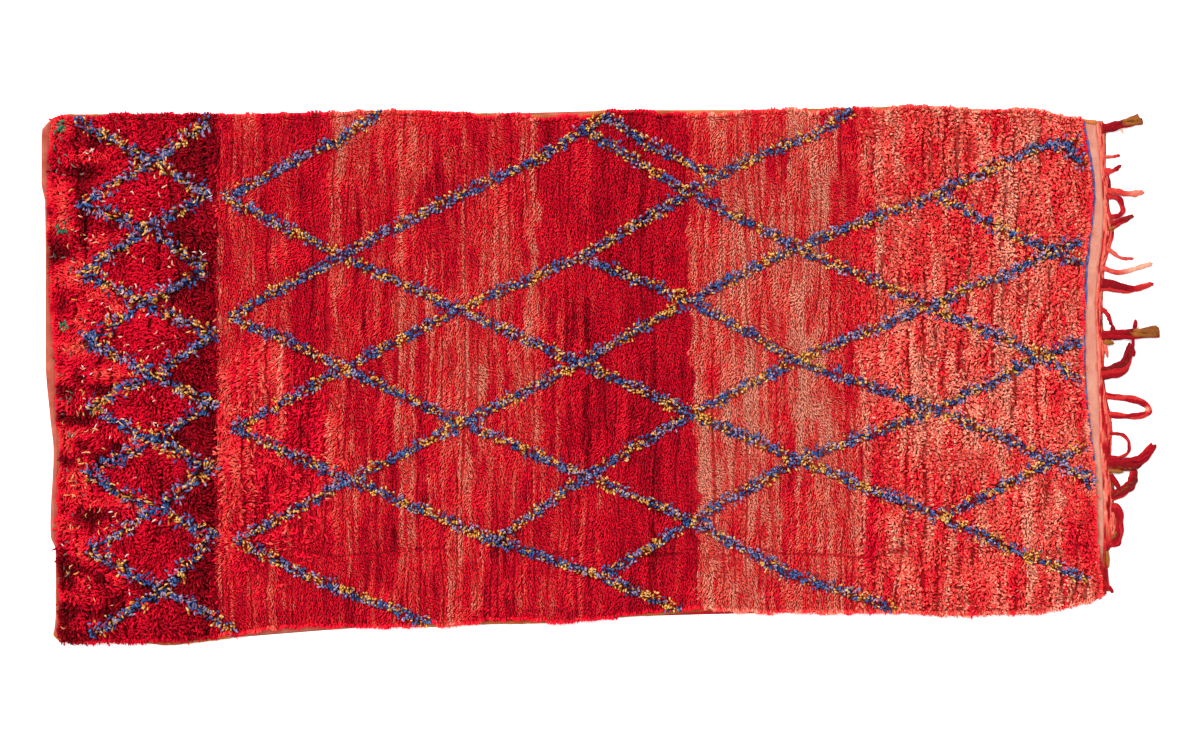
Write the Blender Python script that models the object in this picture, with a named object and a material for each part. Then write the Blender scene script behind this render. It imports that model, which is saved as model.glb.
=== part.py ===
"""A hand-knotted shaggy wool rug, laid flat on a floor.

It is a woven wool ground with a rolled hem at one end and a bare flat-woven band at the other, a
knotted pile standing on that ground, and a fringe of gathered warp ends beyond the band.

Metres, +Z up. X runs along the warp, from the hem to the fringe, and Y along the weft. The origin
is on the floor, in the middle of the rug's overall length and width.
"""

from collections import namedtuple

import bmesh
import bpy
import numpy as np
from mathutils import Matrix, Vector, noise

# The rug's own sizes
GROUND_THICKNESS = 0.003
HEM_HEIGHT = 0.0065
PILE_GAP = 0.0003
END_PILE_HEIGHT = 0.027
FIELD_PILE_HEIGHT = 0.021
SHAGGY_PILE_HEIGHT = 0.024
RIM_SHARE = 0.55
RIM_ROUNDING = 0.07
RIDGE_HEIGHT = 0.006

# Where the pile changes its character along the rug
END_PANEL_EDGE = -1.114
SHAGGY_START = 0.75
SHAGGY_FULL = 0.95

# How far the pile's body stands back from its outline, which the locks at its rim reach
LOCK_ROOM = 0.016
SHORTEST_LOCK = 0.010
LONGEST_LOCK = 0.021
LOCK_UNDERSIDE = 0.0037

# Spacing of the pile's stations along and across the rug
STATION_LENGTH = 0.050
STATION_WIDTH = 0.050

# The outline, read along each edge. Long edges give across at each along, and ends the reverse.
Edge = namedtuple("Edge", "at reach")
FAR_EDGE = Edge(
    at=(-1.625, -1.590, -1.540, -1.150, -0.870, -0.600, -0.370, -0.080, 0.020,
        0.270, 0.510, 0.710, 0.950, 1.110, 1.240, 1.365, 1.440, 1.490),
    reach=(0.715, 0.748, 0.760, 0.759, 0.762, 0.771, 0.764, 0.757, 0.773,
           0.770, 0.773, 0.777, 0.784, 0.773, 0.774, 0.751, 0.742, 0.738),
)
NEAR_EDGE = Edge(
    at=(-1.600, -1.564, -1.326, -1.268, -1.090, -0.970, -0.810, -0.490, -0.350, -0.160,
        0.060, 0.235, 0.330, 0.530, 0.860, 1.010, 1.200, 1.345, 1.450, 1.490),
    reach=(-0.738, -0.774, -0.778, -0.784, -0.766, -0.739, -0.730, -0.731, -0.724, -0.721,
           -0.704, -0.692, -0.685, -0.689, -0.689, -0.697, -0.694, -0.677, -0.648, -0.624),
)
HEM_EDGE = Edge(
    at=(-0.784, -0.689, -0.506, -0.470, -0.430, -0.222, -0.130, 0.045, 0.323, 0.503, 0.561,
        0.680, 0.760),
    reach=(-1.594, -1.584, -1.584, -1.598, -1.599, -1.590, -1.599, -1.613, -1.613, -1.615,
           -1.625, -1.625, -1.618),
)
BAND_EDGE = Edge(
    at=(-0.622, -0.523, -0.419, -0.303, -0.187, 0.007, 0.117, 0.219, 0.312, 0.390, 0.480,
        0.567, 0.654, 0.741),
    reach=(1.4726, 1.4639, 1.4668, 1.4625, 1.4552, 1.4509, 1.4451, 1.4436, 1.4509, 1.4610,
           1.4654, 1.4596, 1.4523, 1.4436),
)
RIDGE_EDGE = Edge(
    at=(-0.622, -0.523, -0.477, -0.430, -0.332, -0.262, -0.144, -0.059, 0.007, 0.103, 0.161,
        0.312, 0.378, 0.419, 0.509, 0.561, 0.605, 0.700, 0.741),
    reach=(1.4813, 1.4740, 1.4940, 1.4920, 1.4929, 1.4842, 1.4871, 1.4726, 1.4640, 1.4668,
           1.4596, 1.4668, 1.4842, 1.4950, 1.4784, 1.4842, 1.4697, 1.4697, 1.4600),
)
PILE_START = Edge(
    at=(-0.784, -0.689, -0.430, -0.222, -0.130, 0.045, 0.146, 0.323, 0.440, 0.620, 0.760),
    reach=(-1.576, -1.569, -1.578, -1.570, -1.575, -1.581, -1.590, -1.598, -1.602, -1.598,
           -1.590),
)
PILE_END = Edge(
    at=(-0.640, -0.535, -0.477, -0.309, -0.204, -0.086, 0.088, 0.294, 0.384, 0.538, 0.741),
    reach=(1.460, 1.448, 1.444, 1.436, 1.424, 1.409, 1.402, 1.406, 1.415, 1.429, 1.398),
)

# Partings in the pile: where each one runs, from where to where, how wide and how deep it is.
# The first follows the crease of an old fold, and the others lie between rows of knots.
Parting = namedtuple("Parting", "runs place start end width depth")
PARTINGS = (
    Parting("along", -0.512, -1.000, 1.440, 0.022, 0.0055),
    Parting("across", -1.112, -0.780, 0.760, 0.018, 0.0060),
    Parting("across", -0.590, 0.150, 0.760, 0.014, 0.0040),
    Parting("across", 0.262, -0.690, 0.770, 0.014, 0.0030),
    Parting("across", 0.352, -0.690, 0.500, 0.014, 0.0040),
    Parting("across", 0.505, 0.000, 0.770, 0.014, 0.0045),
    Parting("across", 0.590, -0.690, 0.000, 0.014, 0.0045),
    Parting("across", 1.080, -0.690, 0.770, 0.016, 0.0050),
    Parting("across", 1.170, -0.400, 0.560, 0.014, 0.0045),
)

# Free warp ends: where each leaves the ridge, then how far out and up its middle and tip lie
Strand = namedtuple("Strand", "root width mid_out mid_up mid_width tip_out tip_up tip_width height")
STRANDS = (
    Strand(0.718, 0.034, 0.048, 0.012, 0.034, 0.108, 0.030, 0.034, 0.012),
    Strand(0.636, 0.012, 0.018, 0.000, 0.010, 0.039, 0.004, 0.008, 0.006),
    Strand(0.590, 0.024, 0.016, 0.005, 0.014, 0.038, 0.020, 0.008, 0.006),
    Strand(0.538, 0.014, 0.047, -0.009, 0.016, 0.094, -0.006, 0.014, 0.008),
    Strand(0.436, 0.028, 0.024, 0.014, 0.022, 0.055, 0.028, 0.012, 0.008),
    Strand(0.367, 0.012, 0.030, -0.024, 0.010, 0.067, -0.027, 0.008, 0.006),
    Strand(0.312, 0.016, 0.045, -0.012, 0.016, 0.133, 0.013, 0.012, 0.007),
    Strand(0.265, 0.044, 0.077, -0.014, 0.024, 0.142, 0.002, 0.015, 0.009),
    Strand(0.193, 0.014, 0.014, -0.014, 0.012, 0.026, -0.042, 0.009, 0.006),
    Strand(0.117, 0.030, 0.073, 0.003, 0.030, 0.159, 0.012, 0.036, 0.014),
    Strand(0.007, 0.036, 0.058, 0.022, 0.032, 0.078, 0.087, 0.012, 0.012),
    Strand(-0.260, 0.034, 0.075, 0.008, 0.030, 0.127, 0.060, 0.020, 0.012),
    Strand(-0.349, 0.026, 0.046, 0.028, 0.026, 0.060, 0.072, 0.020, 0.010),
    Strand(-0.614, 0.014, 0.004, -0.007, 0.012, 0.009, -0.015, 0.008, 0.006),
)
# Warp ends left as loops: where each leaves the ridge and comes back to it, how far out it runs
# and how much it sags towards the near edge
Loop = namedtuple("Loop", "root back reach sag width height")
LOOPS = (
    Loop(0.519, 0.463, 0.036, 0.000, 0.014, 0.008),
    Loop(-0.057, -0.111, 0.119, 0.013, 0.015, 0.008),
    Loop(-0.167, -0.236, 0.054, 0.004, 0.009, 0.006),
    Loop(-0.386, -0.485, 0.021, 0.000, 0.014, 0.010),
)
RIDGE_ENDS = (-0.622, 0.737)
MOST_RIDGE_STEP = 0.045
STRAND_STEPS = 9
LOOP_STEPS = 16
STRAND_TOP_SHARE = 0.62

# Finishes: colour, and roughness
PILE_RED = (0.60, 0.035, 0.035, 1.0)
WEAVE_PINK = (0.68, 0.30, 0.22, 1.0)
FRINGE_RED = (0.50, 0.05, 0.04, 1.0)
WOOL_ROUGHNESS = 0.9

rng = np.random.default_rng(7)


def reach_of(edge, at):
    """The edge's reach at a place, on a smooth curve that never swings past its rows."""
    x = np.array(edge.at)
    y = np.array(edge.reach)
    rise = np.diff(y) / np.diff(x)
    turns = rise[:-1] * rise[1:] <= 0
    total = np.where(turns, 1.0, rise[:-1] + rise[1:])
    inner = np.where(turns, 0.0, 2 * rise[:-1] * rise[1:] / total)
    slope = np.concatenate(([rise[0]], inner, [rise[-1]]))
    place = np.clip(at, x[0], x[-1])
    i = np.clip(np.searchsorted(x, place) - 1, 0, len(x) - 2)
    step = x[i + 1] - x[i]
    t = (place - x[i]) / step
    start, end = slope[i] * step, slope[i + 1] * step
    return (
        (2 * t**3 - 3 * t**2 + 1) * y[i]
        + (t**3 - 2 * t**2 + t) * start
        + (3 * t**2 - 2 * t**3) * y[i + 1]
        + (t**3 - t**2) * end
    )


def patch(low_end, high_end, u, v, inset=0.0):
    """A point between the four edges, at share u of the length and v of the width.

    The place along and the place across depend on each other, so it is found in a few turns.
    """
    x = low_end.reach[0] + u * (high_end.reach[0] - low_end.reach[0])
    y = 0.0
    for _ in range(4):
        near = reach_of(NEAR_EDGE, x) + inset
        far = reach_of(FAR_EDGE, x) - inset
        y = near + v * (far - near)
        low = reach_of(low_end, y) + inset
        high = reach_of(high_end, y) - inset
        x = low + u * (high - low)
    return float(x), float(y)


def fade(value, start, end):
    """0 before start and 1 after end, with a smooth turn between."""
    t = np.clip((value - start) / (end - start), 0, 1)
    return t * t * (3 - 2 * t)


def lumps(x, y, size):
    """Soft lumps of about one size, from -1 to 1."""
    return noise.noise(Vector((x / size, y / size, 0.35)))


def parted(x, y):
    """How deep the partings lie at a place."""
    depth = 0.0
    for p in PARTINGS:
        across, along = (y, x) if p.runs == "along" else (x, y)
        wander = 0.004 * noise.noise(Vector((along / 0.15, p.place, 2.0)))
        valley = np.exp(-(((across - p.place - wander) / p.width) ** 2))
        ends = fade(along, p.start, p.start + 0.08) * (1 - fade(along, p.end - 0.08, p.end))
        depth = max(depth, p.depth * valley * ends)
    return depth


def pile_height(x, y, from_rim):
    """The pile's top: tall and rough at both ends, short and even in the field, lower at its rim."""
    end_panel = 1 - fade(x, END_PANEL_EDGE - 0.03, END_PANEL_EDGE + 0.01)
    shaggy = fade(x, SHAGGY_START, SHAGGY_FULL)
    height = FIELD_PILE_HEIGHT
    height += end_panel * (END_PILE_HEIGHT - FIELD_PILE_HEIGHT)
    height += shaggy * (SHAGGY_PILE_HEIGHT - FIELD_PILE_HEIGHT)
    rough = 0.0014 + 0.0022 * end_panel + 0.0026 * shaggy
    height += rough * (lumps(x, y, 0.16) + 0.9 * lumps(x + 9, y, 0.085))
    height -= parted(x, y)
    rounding = fade(from_rim, -0.02, RIM_ROUNDING)
    return height * (RIM_SHARE + (1 - RIM_SHARE) * rounding)


def stations(length, spacing, places):
    """Shares from 0 to 1, evenly spaced, with three more at each parting so that it is cut sharp."""
    shares = list(np.linspace(0, 1, round(length / spacing) + 1))
    for place, width in places:
        close = 0.75 * spacing / length
        shares = [s for s in shares if abs(s - place) > close or s in (0, 1)]
        shares += [place - width, place, place + width]
    return sorted(shares)


def ridge_places():
    """Where the ridge of warp ends has its stations: at both sides of each root and between them."""
    roots = [(strand.root, strand.width) for strand in STRANDS]
    for loop in LOOPS:
        roots += [(loop.root, loop.width), (loop.back, loop.width)]
    sides = {place + side * width / 2 for place, width in roots for side in (-1, 1)}
    places = sorted({*RIDGE_ENDS, *sides})
    filled = [places[0]]
    for low, high in zip(places, places[1:]):
        steps = int(np.ceil((high - low) / MOST_RIDGE_STEP))
        filled += [float(y) for y in np.linspace(low, high, steps + 1)[1:]]
    return filled


def new_object(name, bm, colour):
    """A smooth-shaded wool object from a finished bmesh."""
    mesh = bpy.data.meshes.new(name)
    bm.to_mesh(mesh)
    bm.free()
    mesh.shade_smooth()
    mesh.set_sharp_from_angle(angle=0.9)
    wool = bpy.data.materials.new(name + "_wool")
    wool.use_nodes = True
    shader = wool.node_tree.nodes["Principled BSDF"]
    shader.inputs["Base Color"].default_value = colour
    shader.inputs["Roughness"].default_value = WOOL_ROUGHNESS
    shader.inputs["Metallic"].default_value = 0.0
    mesh.materials.append(wool)
    made = bpy.data.objects.new(name, mesh)
    bpy.context.scene.collection.objects.link(made)
    return made


def rim_of(grid):
    """The outer points of a grid of columns, counter-clockwise from above."""
    near = [column[0] for column in grid[:-1]]
    high = grid[-1][:-1]
    far = [column[-1] for column in reversed(grid[1:])]
    low = list(reversed(grid[0][1:]))
    return near + high + far + low


def wall(bm, lower, upper):
    """Joins two rings of points, and returns the faces."""
    faces = []
    for k in range(len(lower)):
        n = (k + 1) % len(lower)
        faces.append(bm.faces.new((lower[k], lower[n], upper[n], upper[k])))
    return faces


def draw_out(bm, face, rings):
    """Draws one face out through rings of four points each, and returns its new end."""
    for ring in rings:
        face = bmesh.ops.extrude_discrete_faces(bm, faces=[face])["faces"][0]
        for vert, place in zip(face.verts, ring):
            vert.co = place
    return face


def add_rim_lock(bm, face):
    """A tapering lock of pile that leans out over the rug's edge from one face of its rim."""
    first, second, third, fourth = [v.co.copy() for v in face.verts]
    along = second - first
    out = Vector((along.y, -along.x, 0)).normalized()
    reach = rng.uniform(SHORTEST_LOCK, LONGEST_LOCK)
    lean = along * rng.uniform(-0.16, 0.16)
    middle = (first + second) / 2
    top = (third.z + fourth.z) / 2
    rings = []
    for share, spread, height in ((0.55, 0.36, 0.74), (1.0, 0.17, 0.40)):
        centre = middle + out * reach * share + lean * share
        low, high = LOCK_UNDERSIDE, max(top * height, LOCK_UNDERSIDE + 0.003)
        half = along * spread
        rings.append(
            (
                Vector((*(centre - half).xy, low)),
                Vector((*(centre + half).xy, low)),
                Vector((*(centre + 0.7 * half).xy, high)),
                Vector((*(centre - 0.7 * half).xy, high)),
            )
        )
    draw_out(bm, face, rings)


def make_pile():
    """The knotted pile: one lumpy slab, parted along its creases, with a lock at each step of its rim."""
    length = PILE_END.reach[0] - PILE_START.reach[0]
    width = FAR_EDGE.reach[0] - NEAR_EDGE.reach[0]
    cut_across = [
        ((p.place - PILE_START.reach[0]) / length, p.width / length)
        for p in PARTINGS
        if p.runs == "across"
    ]
    cut_along = [
        ((p.place - NEAR_EDGE.reach[0]) / width, p.width / width)
        for p in PARTINGS
        if p.runs == "along"
    ]
    bm = bmesh.new()
    grid = []
    for u in stations(length, STATION_LENGTH, cut_across):
        column = []
        for v in stations(width, STATION_WIDTH, cut_along):
            x, y = patch(PILE_START, PILE_END, u, v, LOCK_ROOM)
            from_rim = min(u * length, (1 - u) * length, v * width, (1 - v) * width)
            column.append(bm.verts.new((x, y, pile_height(x, y, from_rim))))
        grid.append(column)
    for left, right in zip(grid, grid[1:]):
        for j in range(len(left) - 1):
            bm.faces.new((left[j], right[j], right[j + 1], left[j + 1]))
    upper = rim_of(grid)
    floor = GROUND_THICKNESS + PILE_GAP
    lower = [bm.verts.new((v.co.x, v.co.y, floor)) for v in upper]
    rim = wall(bm, lower, upper)
    bm.faces.new(reversed(lower))
    for face in rim:
        add_rim_lock(bm, face)
    return new_object("pile", bm, PILE_RED)


def make_ground():
    """The woven ground: one flat sheet under the pile, bare at the band, with its hem rolled thicker."""
    length = BAND_EDGE.reach[0] - HEM_EDGE.reach[0]
    width = FAR_EDGE.reach[0] - NEAR_EDGE.reach[0]
    bm = bmesh.new()
    shares = stations(length, 1.6 * STATION_LENGTH, [])
    rows = stations(width, 1.6 * STATION_WIDTH, [])
    hem = []
    for v in rows:
        x, y = patch(HEM_EDGE, BAND_EDGE, 0, v)
        room = float(reach_of(PILE_START, y)) - 0.006 - x
        section = ((0.12, 0.0025), (0.30, HEM_HEIGHT), (0.72, HEM_HEIGHT), (1.0, GROUND_THICKNESS))
        hem.append([bm.verts.new((x + room * out, y, up)) for out, up in section])
    rim = [patch(HEM_EDGE, BAND_EDGE, u, 0) for u in shares[1:]]
    rim += [(float(reach_of(BAND_EDGE, y)), y) for y in ridge_places()]
    rim += [patch(HEM_EDGE, BAND_EDGE, u, 1) for u in reversed(shares[1:])]
    top = [bm.verts.new((x, y, GROUND_THICKNESS)) for x, y in rim]
    for low, high in zip(hem, hem[1:]):
        for k in range(len(low) - 1):
            bm.faces.new((low[k], low[k + 1], high[k + 1], high[k]))
    bm.faces.new([row[-1] for row in reversed(hem)] + top)
    upper = hem[0] + top + list(reversed(hem[-1]))
    upper += [row[0] for row in reversed(hem[1:-1])]
    lower = [bm.verts.new((v.co.x, v.co.y, 0)) for v in upper]
    wall(bm, lower, upper)
    bm.faces.new(reversed(lower))
    return new_object("ground_weave", bm, WEAVE_PINK)


def ring_across(centre, direction, width, height):
    """The four corners of a strand's section, resting on the floor and narrower on top."""
    side = Vector((-direction.y, direction.x)).normalized() * width / 2
    low, high = 0.0, height
    return (
        Vector((*(centre - side), low)),
        Vector((*(centre + side), low)),
        Vector((*(centre + side * STRAND_TOP_SHARE), high)),
        Vector((*(centre - side * STRAND_TOP_SHARE), high)),
    )


def rings_along(points, widths, heights):
    """Sections square to a path, one at each point after the first."""
    rings = []
    for i in range(1, len(points)):
        after = points[min(i + 1, len(points) - 1)]
        direction = after - points[i - 1]
        rings.append(ring_across(points[i], direction, widths[i], heights[i]))
    return rings


def strand_path(row):
    """Points from the ridge through a strand's middle to its tip, leaving the ridge square to it."""
    start = Vector((float(reach_of(RIDGE_EDGE, row.root)), row.root))
    middle = start + Vector((row.mid_out, row.mid_up))
    tip = start + Vector((row.tip_out, row.tip_up))
    leave = Vector((row.mid_out, 0.0))
    through = (tip - start) / 2
    arrive = (tip - middle) * 1.1
    points = []
    for t in np.linspace(0, 1, STRAND_STEPS + 1):
        if t <= 0.5:
            a, b, from_way, to_way, s = start, middle, leave, through, t * 2
        else:
            a, b, from_way, to_way, s = middle, tip, through, arrive, t * 2 - 1
        points.append(
            a * (2 * s**3 - 3 * s**2 + 1)
            + from_way * (s**3 - 2 * s**2 + s)
            + b * (3 * s**2 - 2 * s**3)
            + to_way * (s**3 - s**2)
        )
    return points


def loop_path(row):
    """Points out from the ridge, round a narrow arch and back to it."""
    start = Vector((float(reach_of(RIDGE_EDGE, row.root)), row.root))
    end = Vector((float(reach_of(RIDGE_EDGE, row.back)), row.back))
    points = []
    for t in np.linspace(0, 1, LOOP_STEPS + 1):
        turn = fade(t, 0.18, 0.82)
        out = row.reach * np.sin(np.pi * t) ** 0.85
        x = start.x + t * (end.x - start.x) + out
        y = start.y + turn * (end.y - start.y) - row.sag * np.sin(np.pi * t) ** 0.5
        points.append(Vector((x, y)))
    return points


def make_fringe():
    """The ridge of bound warp ends beyond the band, with the strands and loops that grow from it."""
    bm = bmesh.new()
    sections = []
    for y in ridge_places():
        inner = float(reach_of(BAND_EDGE, y)) + PILE_GAP
        outer = float(reach_of(RIDGE_EDGE, y))
        corners = ((inner, 0), (outer, 0), (outer, RIDGE_HEIGHT), (inner, RIDGE_HEIGHT))
        sections.append([bm.verts.new((x, y, z)) for x, z in corners])
    outer_faces = {}
    for low, high in zip(sections, sections[1:]):
        for k in range(4):
            n = (k + 1) % 4
            face = bm.faces.new((low[k], high[k], high[n], low[n]))
            if k == 1:
                middle = (low[1].co.y + high[1].co.y) / 2
                outer_faces[round(middle, 4)] = face
    bm.faces.new(sections[0])
    bm.faces.new(reversed(sections[-1]))

    steps = np.linspace(0, 1, STRAND_STEPS + 1)
    for s in STRANDS:
        widths = np.interp(steps, (0, 0.5, 1), (s.width, s.mid_width, s.tip_width))
        heights = np.interp(steps, (0, 0.25, 0.8, 1), (RIDGE_HEIGHT, s.height, s.height, 0.005))
        draw_out(bm, outer_faces[s.root], rings_along(strand_path(s), widths, heights))
    for s in LOOPS:
        share = np.linspace(0, 1, LOOP_STEPS + 1)
        widths = [s.width] * (LOOP_STEPS + 1)
        heights = RIDGE_HEIGHT + (s.height - RIDGE_HEIGHT) * np.sin(np.pi * share)
        rings = rings_along(loop_path(s), widths, heights)[:-1]
        end = draw_out(bm, outer_faces[s.root], rings)
        back = outer_faces[s.back]
        ring = list(end.verts)
        low_near, low_far, high_far, high_near = back.verts
        facing = [low_far, low_near, high_near, high_far]
        bmesh.ops.delete(bm, geom=[end, back], context="FACES_ONLY")
        for k in range(4):
            n = (k + 1) % 4
            bm.faces.new((ring[k], ring[n], facing[n], facing[k]))
    return new_object("fringe", bm, FRINGE_RED)


def centre(pieces):
    """Moves the pieces together so that the middle of their length and width is over the origin."""
    corners = np.array([v.co for piece in pieces for v in piece.data.vertices])
    middle = (corners.min(axis=0) + corners.max(axis=0)) / 2
    for piece in pieces:
        piece.data.transform(Matrix.Translation((-middle[0], -middle[1], 0)))


for old in list(bpy.data.objects):
    bpy.data.objects.remove(old)
centre([make_ground(), make_pile(), make_fringe()])
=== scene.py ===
"""A hand-knotted shaggy wool rug, laid flat on a pale floor and seen from straight above.

Metres, +Z up. X runs along the warp, from the hem to the fringe, and Y along the weft.
"""

from collections import namedtuple
from itertools import product

import bpy
import numpy as np
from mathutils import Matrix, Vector
from mathutils.bvhtree import BVHTree


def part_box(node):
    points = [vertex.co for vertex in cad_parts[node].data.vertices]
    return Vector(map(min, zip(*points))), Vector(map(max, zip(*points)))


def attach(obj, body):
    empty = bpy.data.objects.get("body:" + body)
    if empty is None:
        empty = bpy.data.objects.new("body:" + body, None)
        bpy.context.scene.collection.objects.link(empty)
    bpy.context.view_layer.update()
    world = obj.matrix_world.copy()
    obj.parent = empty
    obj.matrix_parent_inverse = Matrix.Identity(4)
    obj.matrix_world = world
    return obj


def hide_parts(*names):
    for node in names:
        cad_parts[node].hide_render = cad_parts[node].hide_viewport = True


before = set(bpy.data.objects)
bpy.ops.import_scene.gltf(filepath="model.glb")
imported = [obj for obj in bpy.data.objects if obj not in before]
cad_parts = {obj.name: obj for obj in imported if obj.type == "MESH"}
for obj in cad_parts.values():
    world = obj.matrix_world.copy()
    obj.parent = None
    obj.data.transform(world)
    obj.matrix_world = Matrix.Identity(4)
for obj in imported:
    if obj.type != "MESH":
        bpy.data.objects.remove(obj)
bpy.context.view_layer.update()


# The woven ground
# One wool cloth carries the whole rug. It is hidden under the pile, but at one end it is rolled
# into a coral hem, and at the other it is left bare as a pink flat-woven band with a blue line.

Edge = namedtuple("Edge", "at reach")
FAR_EDGE = Edge(
    at=(-1.625, -1.590, -1.540, -1.150, -0.870, -0.600, -0.370, -0.080, 0.020,
        0.270, 0.510, 0.710, 0.950, 1.110, 1.240, 1.365, 1.440, 1.490),
    reach=(0.715, 0.748, 0.760, 0.759, 0.762, 0.771, 0.764, 0.757, 0.773,
           0.770, 0.773, 0.777, 0.784, 0.773, 0.774, 0.751, 0.742, 0.738),
)
NEAR_EDGE = Edge(
    at=(-1.600, -1.564, -1.326, -1.268, -1.090, -0.970, -0.810, -0.490, -0.350, -0.160,
        0.060, 0.235, 0.330, 0.530, 0.860, 1.010, 1.200, 1.345, 1.450, 1.490),
    reach=(-0.738, -0.774, -0.778, -0.784, -0.766, -0.739, -0.730, -0.731, -0.724, -0.721,
           -0.704, -0.692, -0.685, -0.689, -0.689, -0.697, -0.694, -0.677, -0.648, -0.624),
)
HEM_EDGE = Edge(
    at=(-0.784, -0.689, -0.506, -0.470, -0.430, -0.222, -0.130, 0.045, 0.323, 0.503, 0.561,
        0.680, 0.760),
    reach=(-1.594, -1.584, -1.584, -1.598, -1.599, -1.590, -1.599, -1.613, -1.613, -1.615,
           -1.625, -1.625, -1.618),
)
BAND_EDGE = Edge(
    at=(-0.622, -0.523, -0.419, -0.303, -0.187, 0.007, 0.117, 0.219, 0.312, 0.390, 0.480,
        0.567, 0.654, 0.741),
    reach=(1.4726, 1.4639, 1.4668, 1.4625, 1.4552, 1.4509, 1.4451, 1.4436, 1.4509, 1.4610,
           1.4654, 1.4596, 1.4523, 1.4436),
)
PILE_START = Edge(
    at=(-0.784, -0.689, -0.430, -0.222, -0.130, 0.045, 0.146, 0.323, 0.440, 0.620, 0.760),
    reach=(-1.576, -1.569, -1.578, -1.570, -1.575, -1.581, -1.590, -1.598, -1.602, -1.598,
           -1.590),
)
PILE_END = Edge(
    at=(-0.640, -0.535, -0.477, -0.309, -0.204, -0.086, 0.088, 0.294, 0.384, 0.538, 0.741),
    reach=(1.460, 1.448, 1.444, 1.436, 1.424, 1.409, 1.402, 1.406, 1.415, 1.429, 1.398),
)
CLOTH_THICKNESS = 0.003
HEM_HEIGHT = 0.0065
CLOTH_FLAT = (1.50, 3.08)
EDGE_ROUNDING = 0.004
BARE_FROM = (1.38, 1.42)
BAND_WAVE = 0.0012


def cubic(t, start, leave, end, arrive):
    """A cubic curve at share t, from start to end, with a slope of its own at each."""
    return (
        (2 * t**3 - 3 * t**2 + 1) * start
        + (t**3 - 2 * t**2 + t) * leave
        + (3 * t**2 - 2 * t**3) * end
        + (t**3 - t**2) * arrive
    )


def reach_of(edge, at):
    """The edge's reach at many places, on cubic curves whose slopes never swing past its rows."""
    x = np.array(edge.at)
    y = np.array(edge.reach)
    rise = np.diff(y) / np.diff(x)
    turns = rise[:-1] * rise[1:] <= 0
    total = np.where(turns, 1.0, rise[:-1] + rise[1:])
    inner = np.where(turns, 0.0, 2 * rise[:-1] * rise[1:] / total)
    slope = np.concatenate(([rise[0]], inner, [rise[-1]]))
    place = np.clip(at, x[0], x[-1])
    i = np.clip(np.searchsorted(x, place) - 1, 0, len(x) - 2)
    step = x[i + 1] - x[i]
    return cubic((place - x[i]) / step, y[i], slope[i] * step, y[i + 1], slope[i + 1] * step)


def between(low_end, high_end, u, v, inset=0.0):
    """Places at share u of the length and v of the width, found in a few turns, because how far the
    cloth reaches along depends on the place across, and the other way round."""
    x = low_end.reach[0] + u * (high_end.reach[0] - low_end.reach[0])
    for _ in range(4):
        near = reach_of(NEAR_EDGE, x) + inset
        y = near + v * (reach_of(FAR_EDGE, x) - inset - near)
        low = reach_of(low_end, y) + inset
        x = low + u * (reach_of(high_end, y) - inset - low)
    return x, y


def fade(value, start, end):
    """0 before start and 1 after end, with a smooth turn between."""
    t = np.clip((value - start) / (end - start), 0, 1)
    return t * t * (3 - 2 * t)


def over_cell(heights, i, j, s, t):
    """A grid's value at shares s and t of the way over its cell i, j, straight between the corners.
    Past its last row and column the grid begins again."""
    rows, columns = heights.shape
    i, next_i, j, next_j = i % rows, (i + 1) % rows, j % columns, (j + 1) % columns
    low = heights[i, j] * (1 - s) + heights[next_i, j] * s
    high = heights[i, next_j] * (1 - s) + heights[next_i, next_j] * s
    return low * (1 - t) + high * t


def drift(x, y, size_x, size_y, seed):
    """Soft noise from 0 to 1: random heights on a grid of that size, joined by smooth turns."""
    heights = np.random.default_rng(seed).random((512, 512))
    along, across = x / size_x, y / size_y
    i, j = np.floor(along).astype(int), np.floor(across).astype(int)
    return over_cell(heights, i, j, fade(along - i, 0, 1), fade(across - j, 0, 1))


def grid_faces(rows, columns, first=0):
    """The four-cornered faces of a grid of points, turning left as seen from above a flat one."""
    index = np.arange(rows * columns).reshape(rows, columns) + first
    corners = (index[:-1, :-1], index[1:, :-1], index[1:, 1:], index[:-1, 1:])
    return np.stack(corners, axis=-1).reshape(-1, 4)


def shell(x, y, top, bottom):
    """Points and faces of a closed cloth: its upper face, the same turned over for its lower face,
    and a wall of one face for each step round its rim."""
    rows, columns = x.shape
    count = rows * columns
    upper = np.stack((x, y, top), axis=-1).reshape(-1, 3)
    lower = np.stack((x, y, bottom), axis=-1).reshape(-1, 3)
    index = np.arange(count).reshape(rows, columns)
    rim = np.concatenate((index[:-1, 0], index[-1, :-1], index[:0:-1, -1], index[0, :0:-1]))
    after = np.roll(rim, -1)
    wall = np.stack((rim + count, after + count, after, rim), axis=-1)
    faces = grid_faces(rows, columns)
    return np.concatenate((upper, lower)), [faces, faces[:, ::-1] + count, wall]


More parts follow.
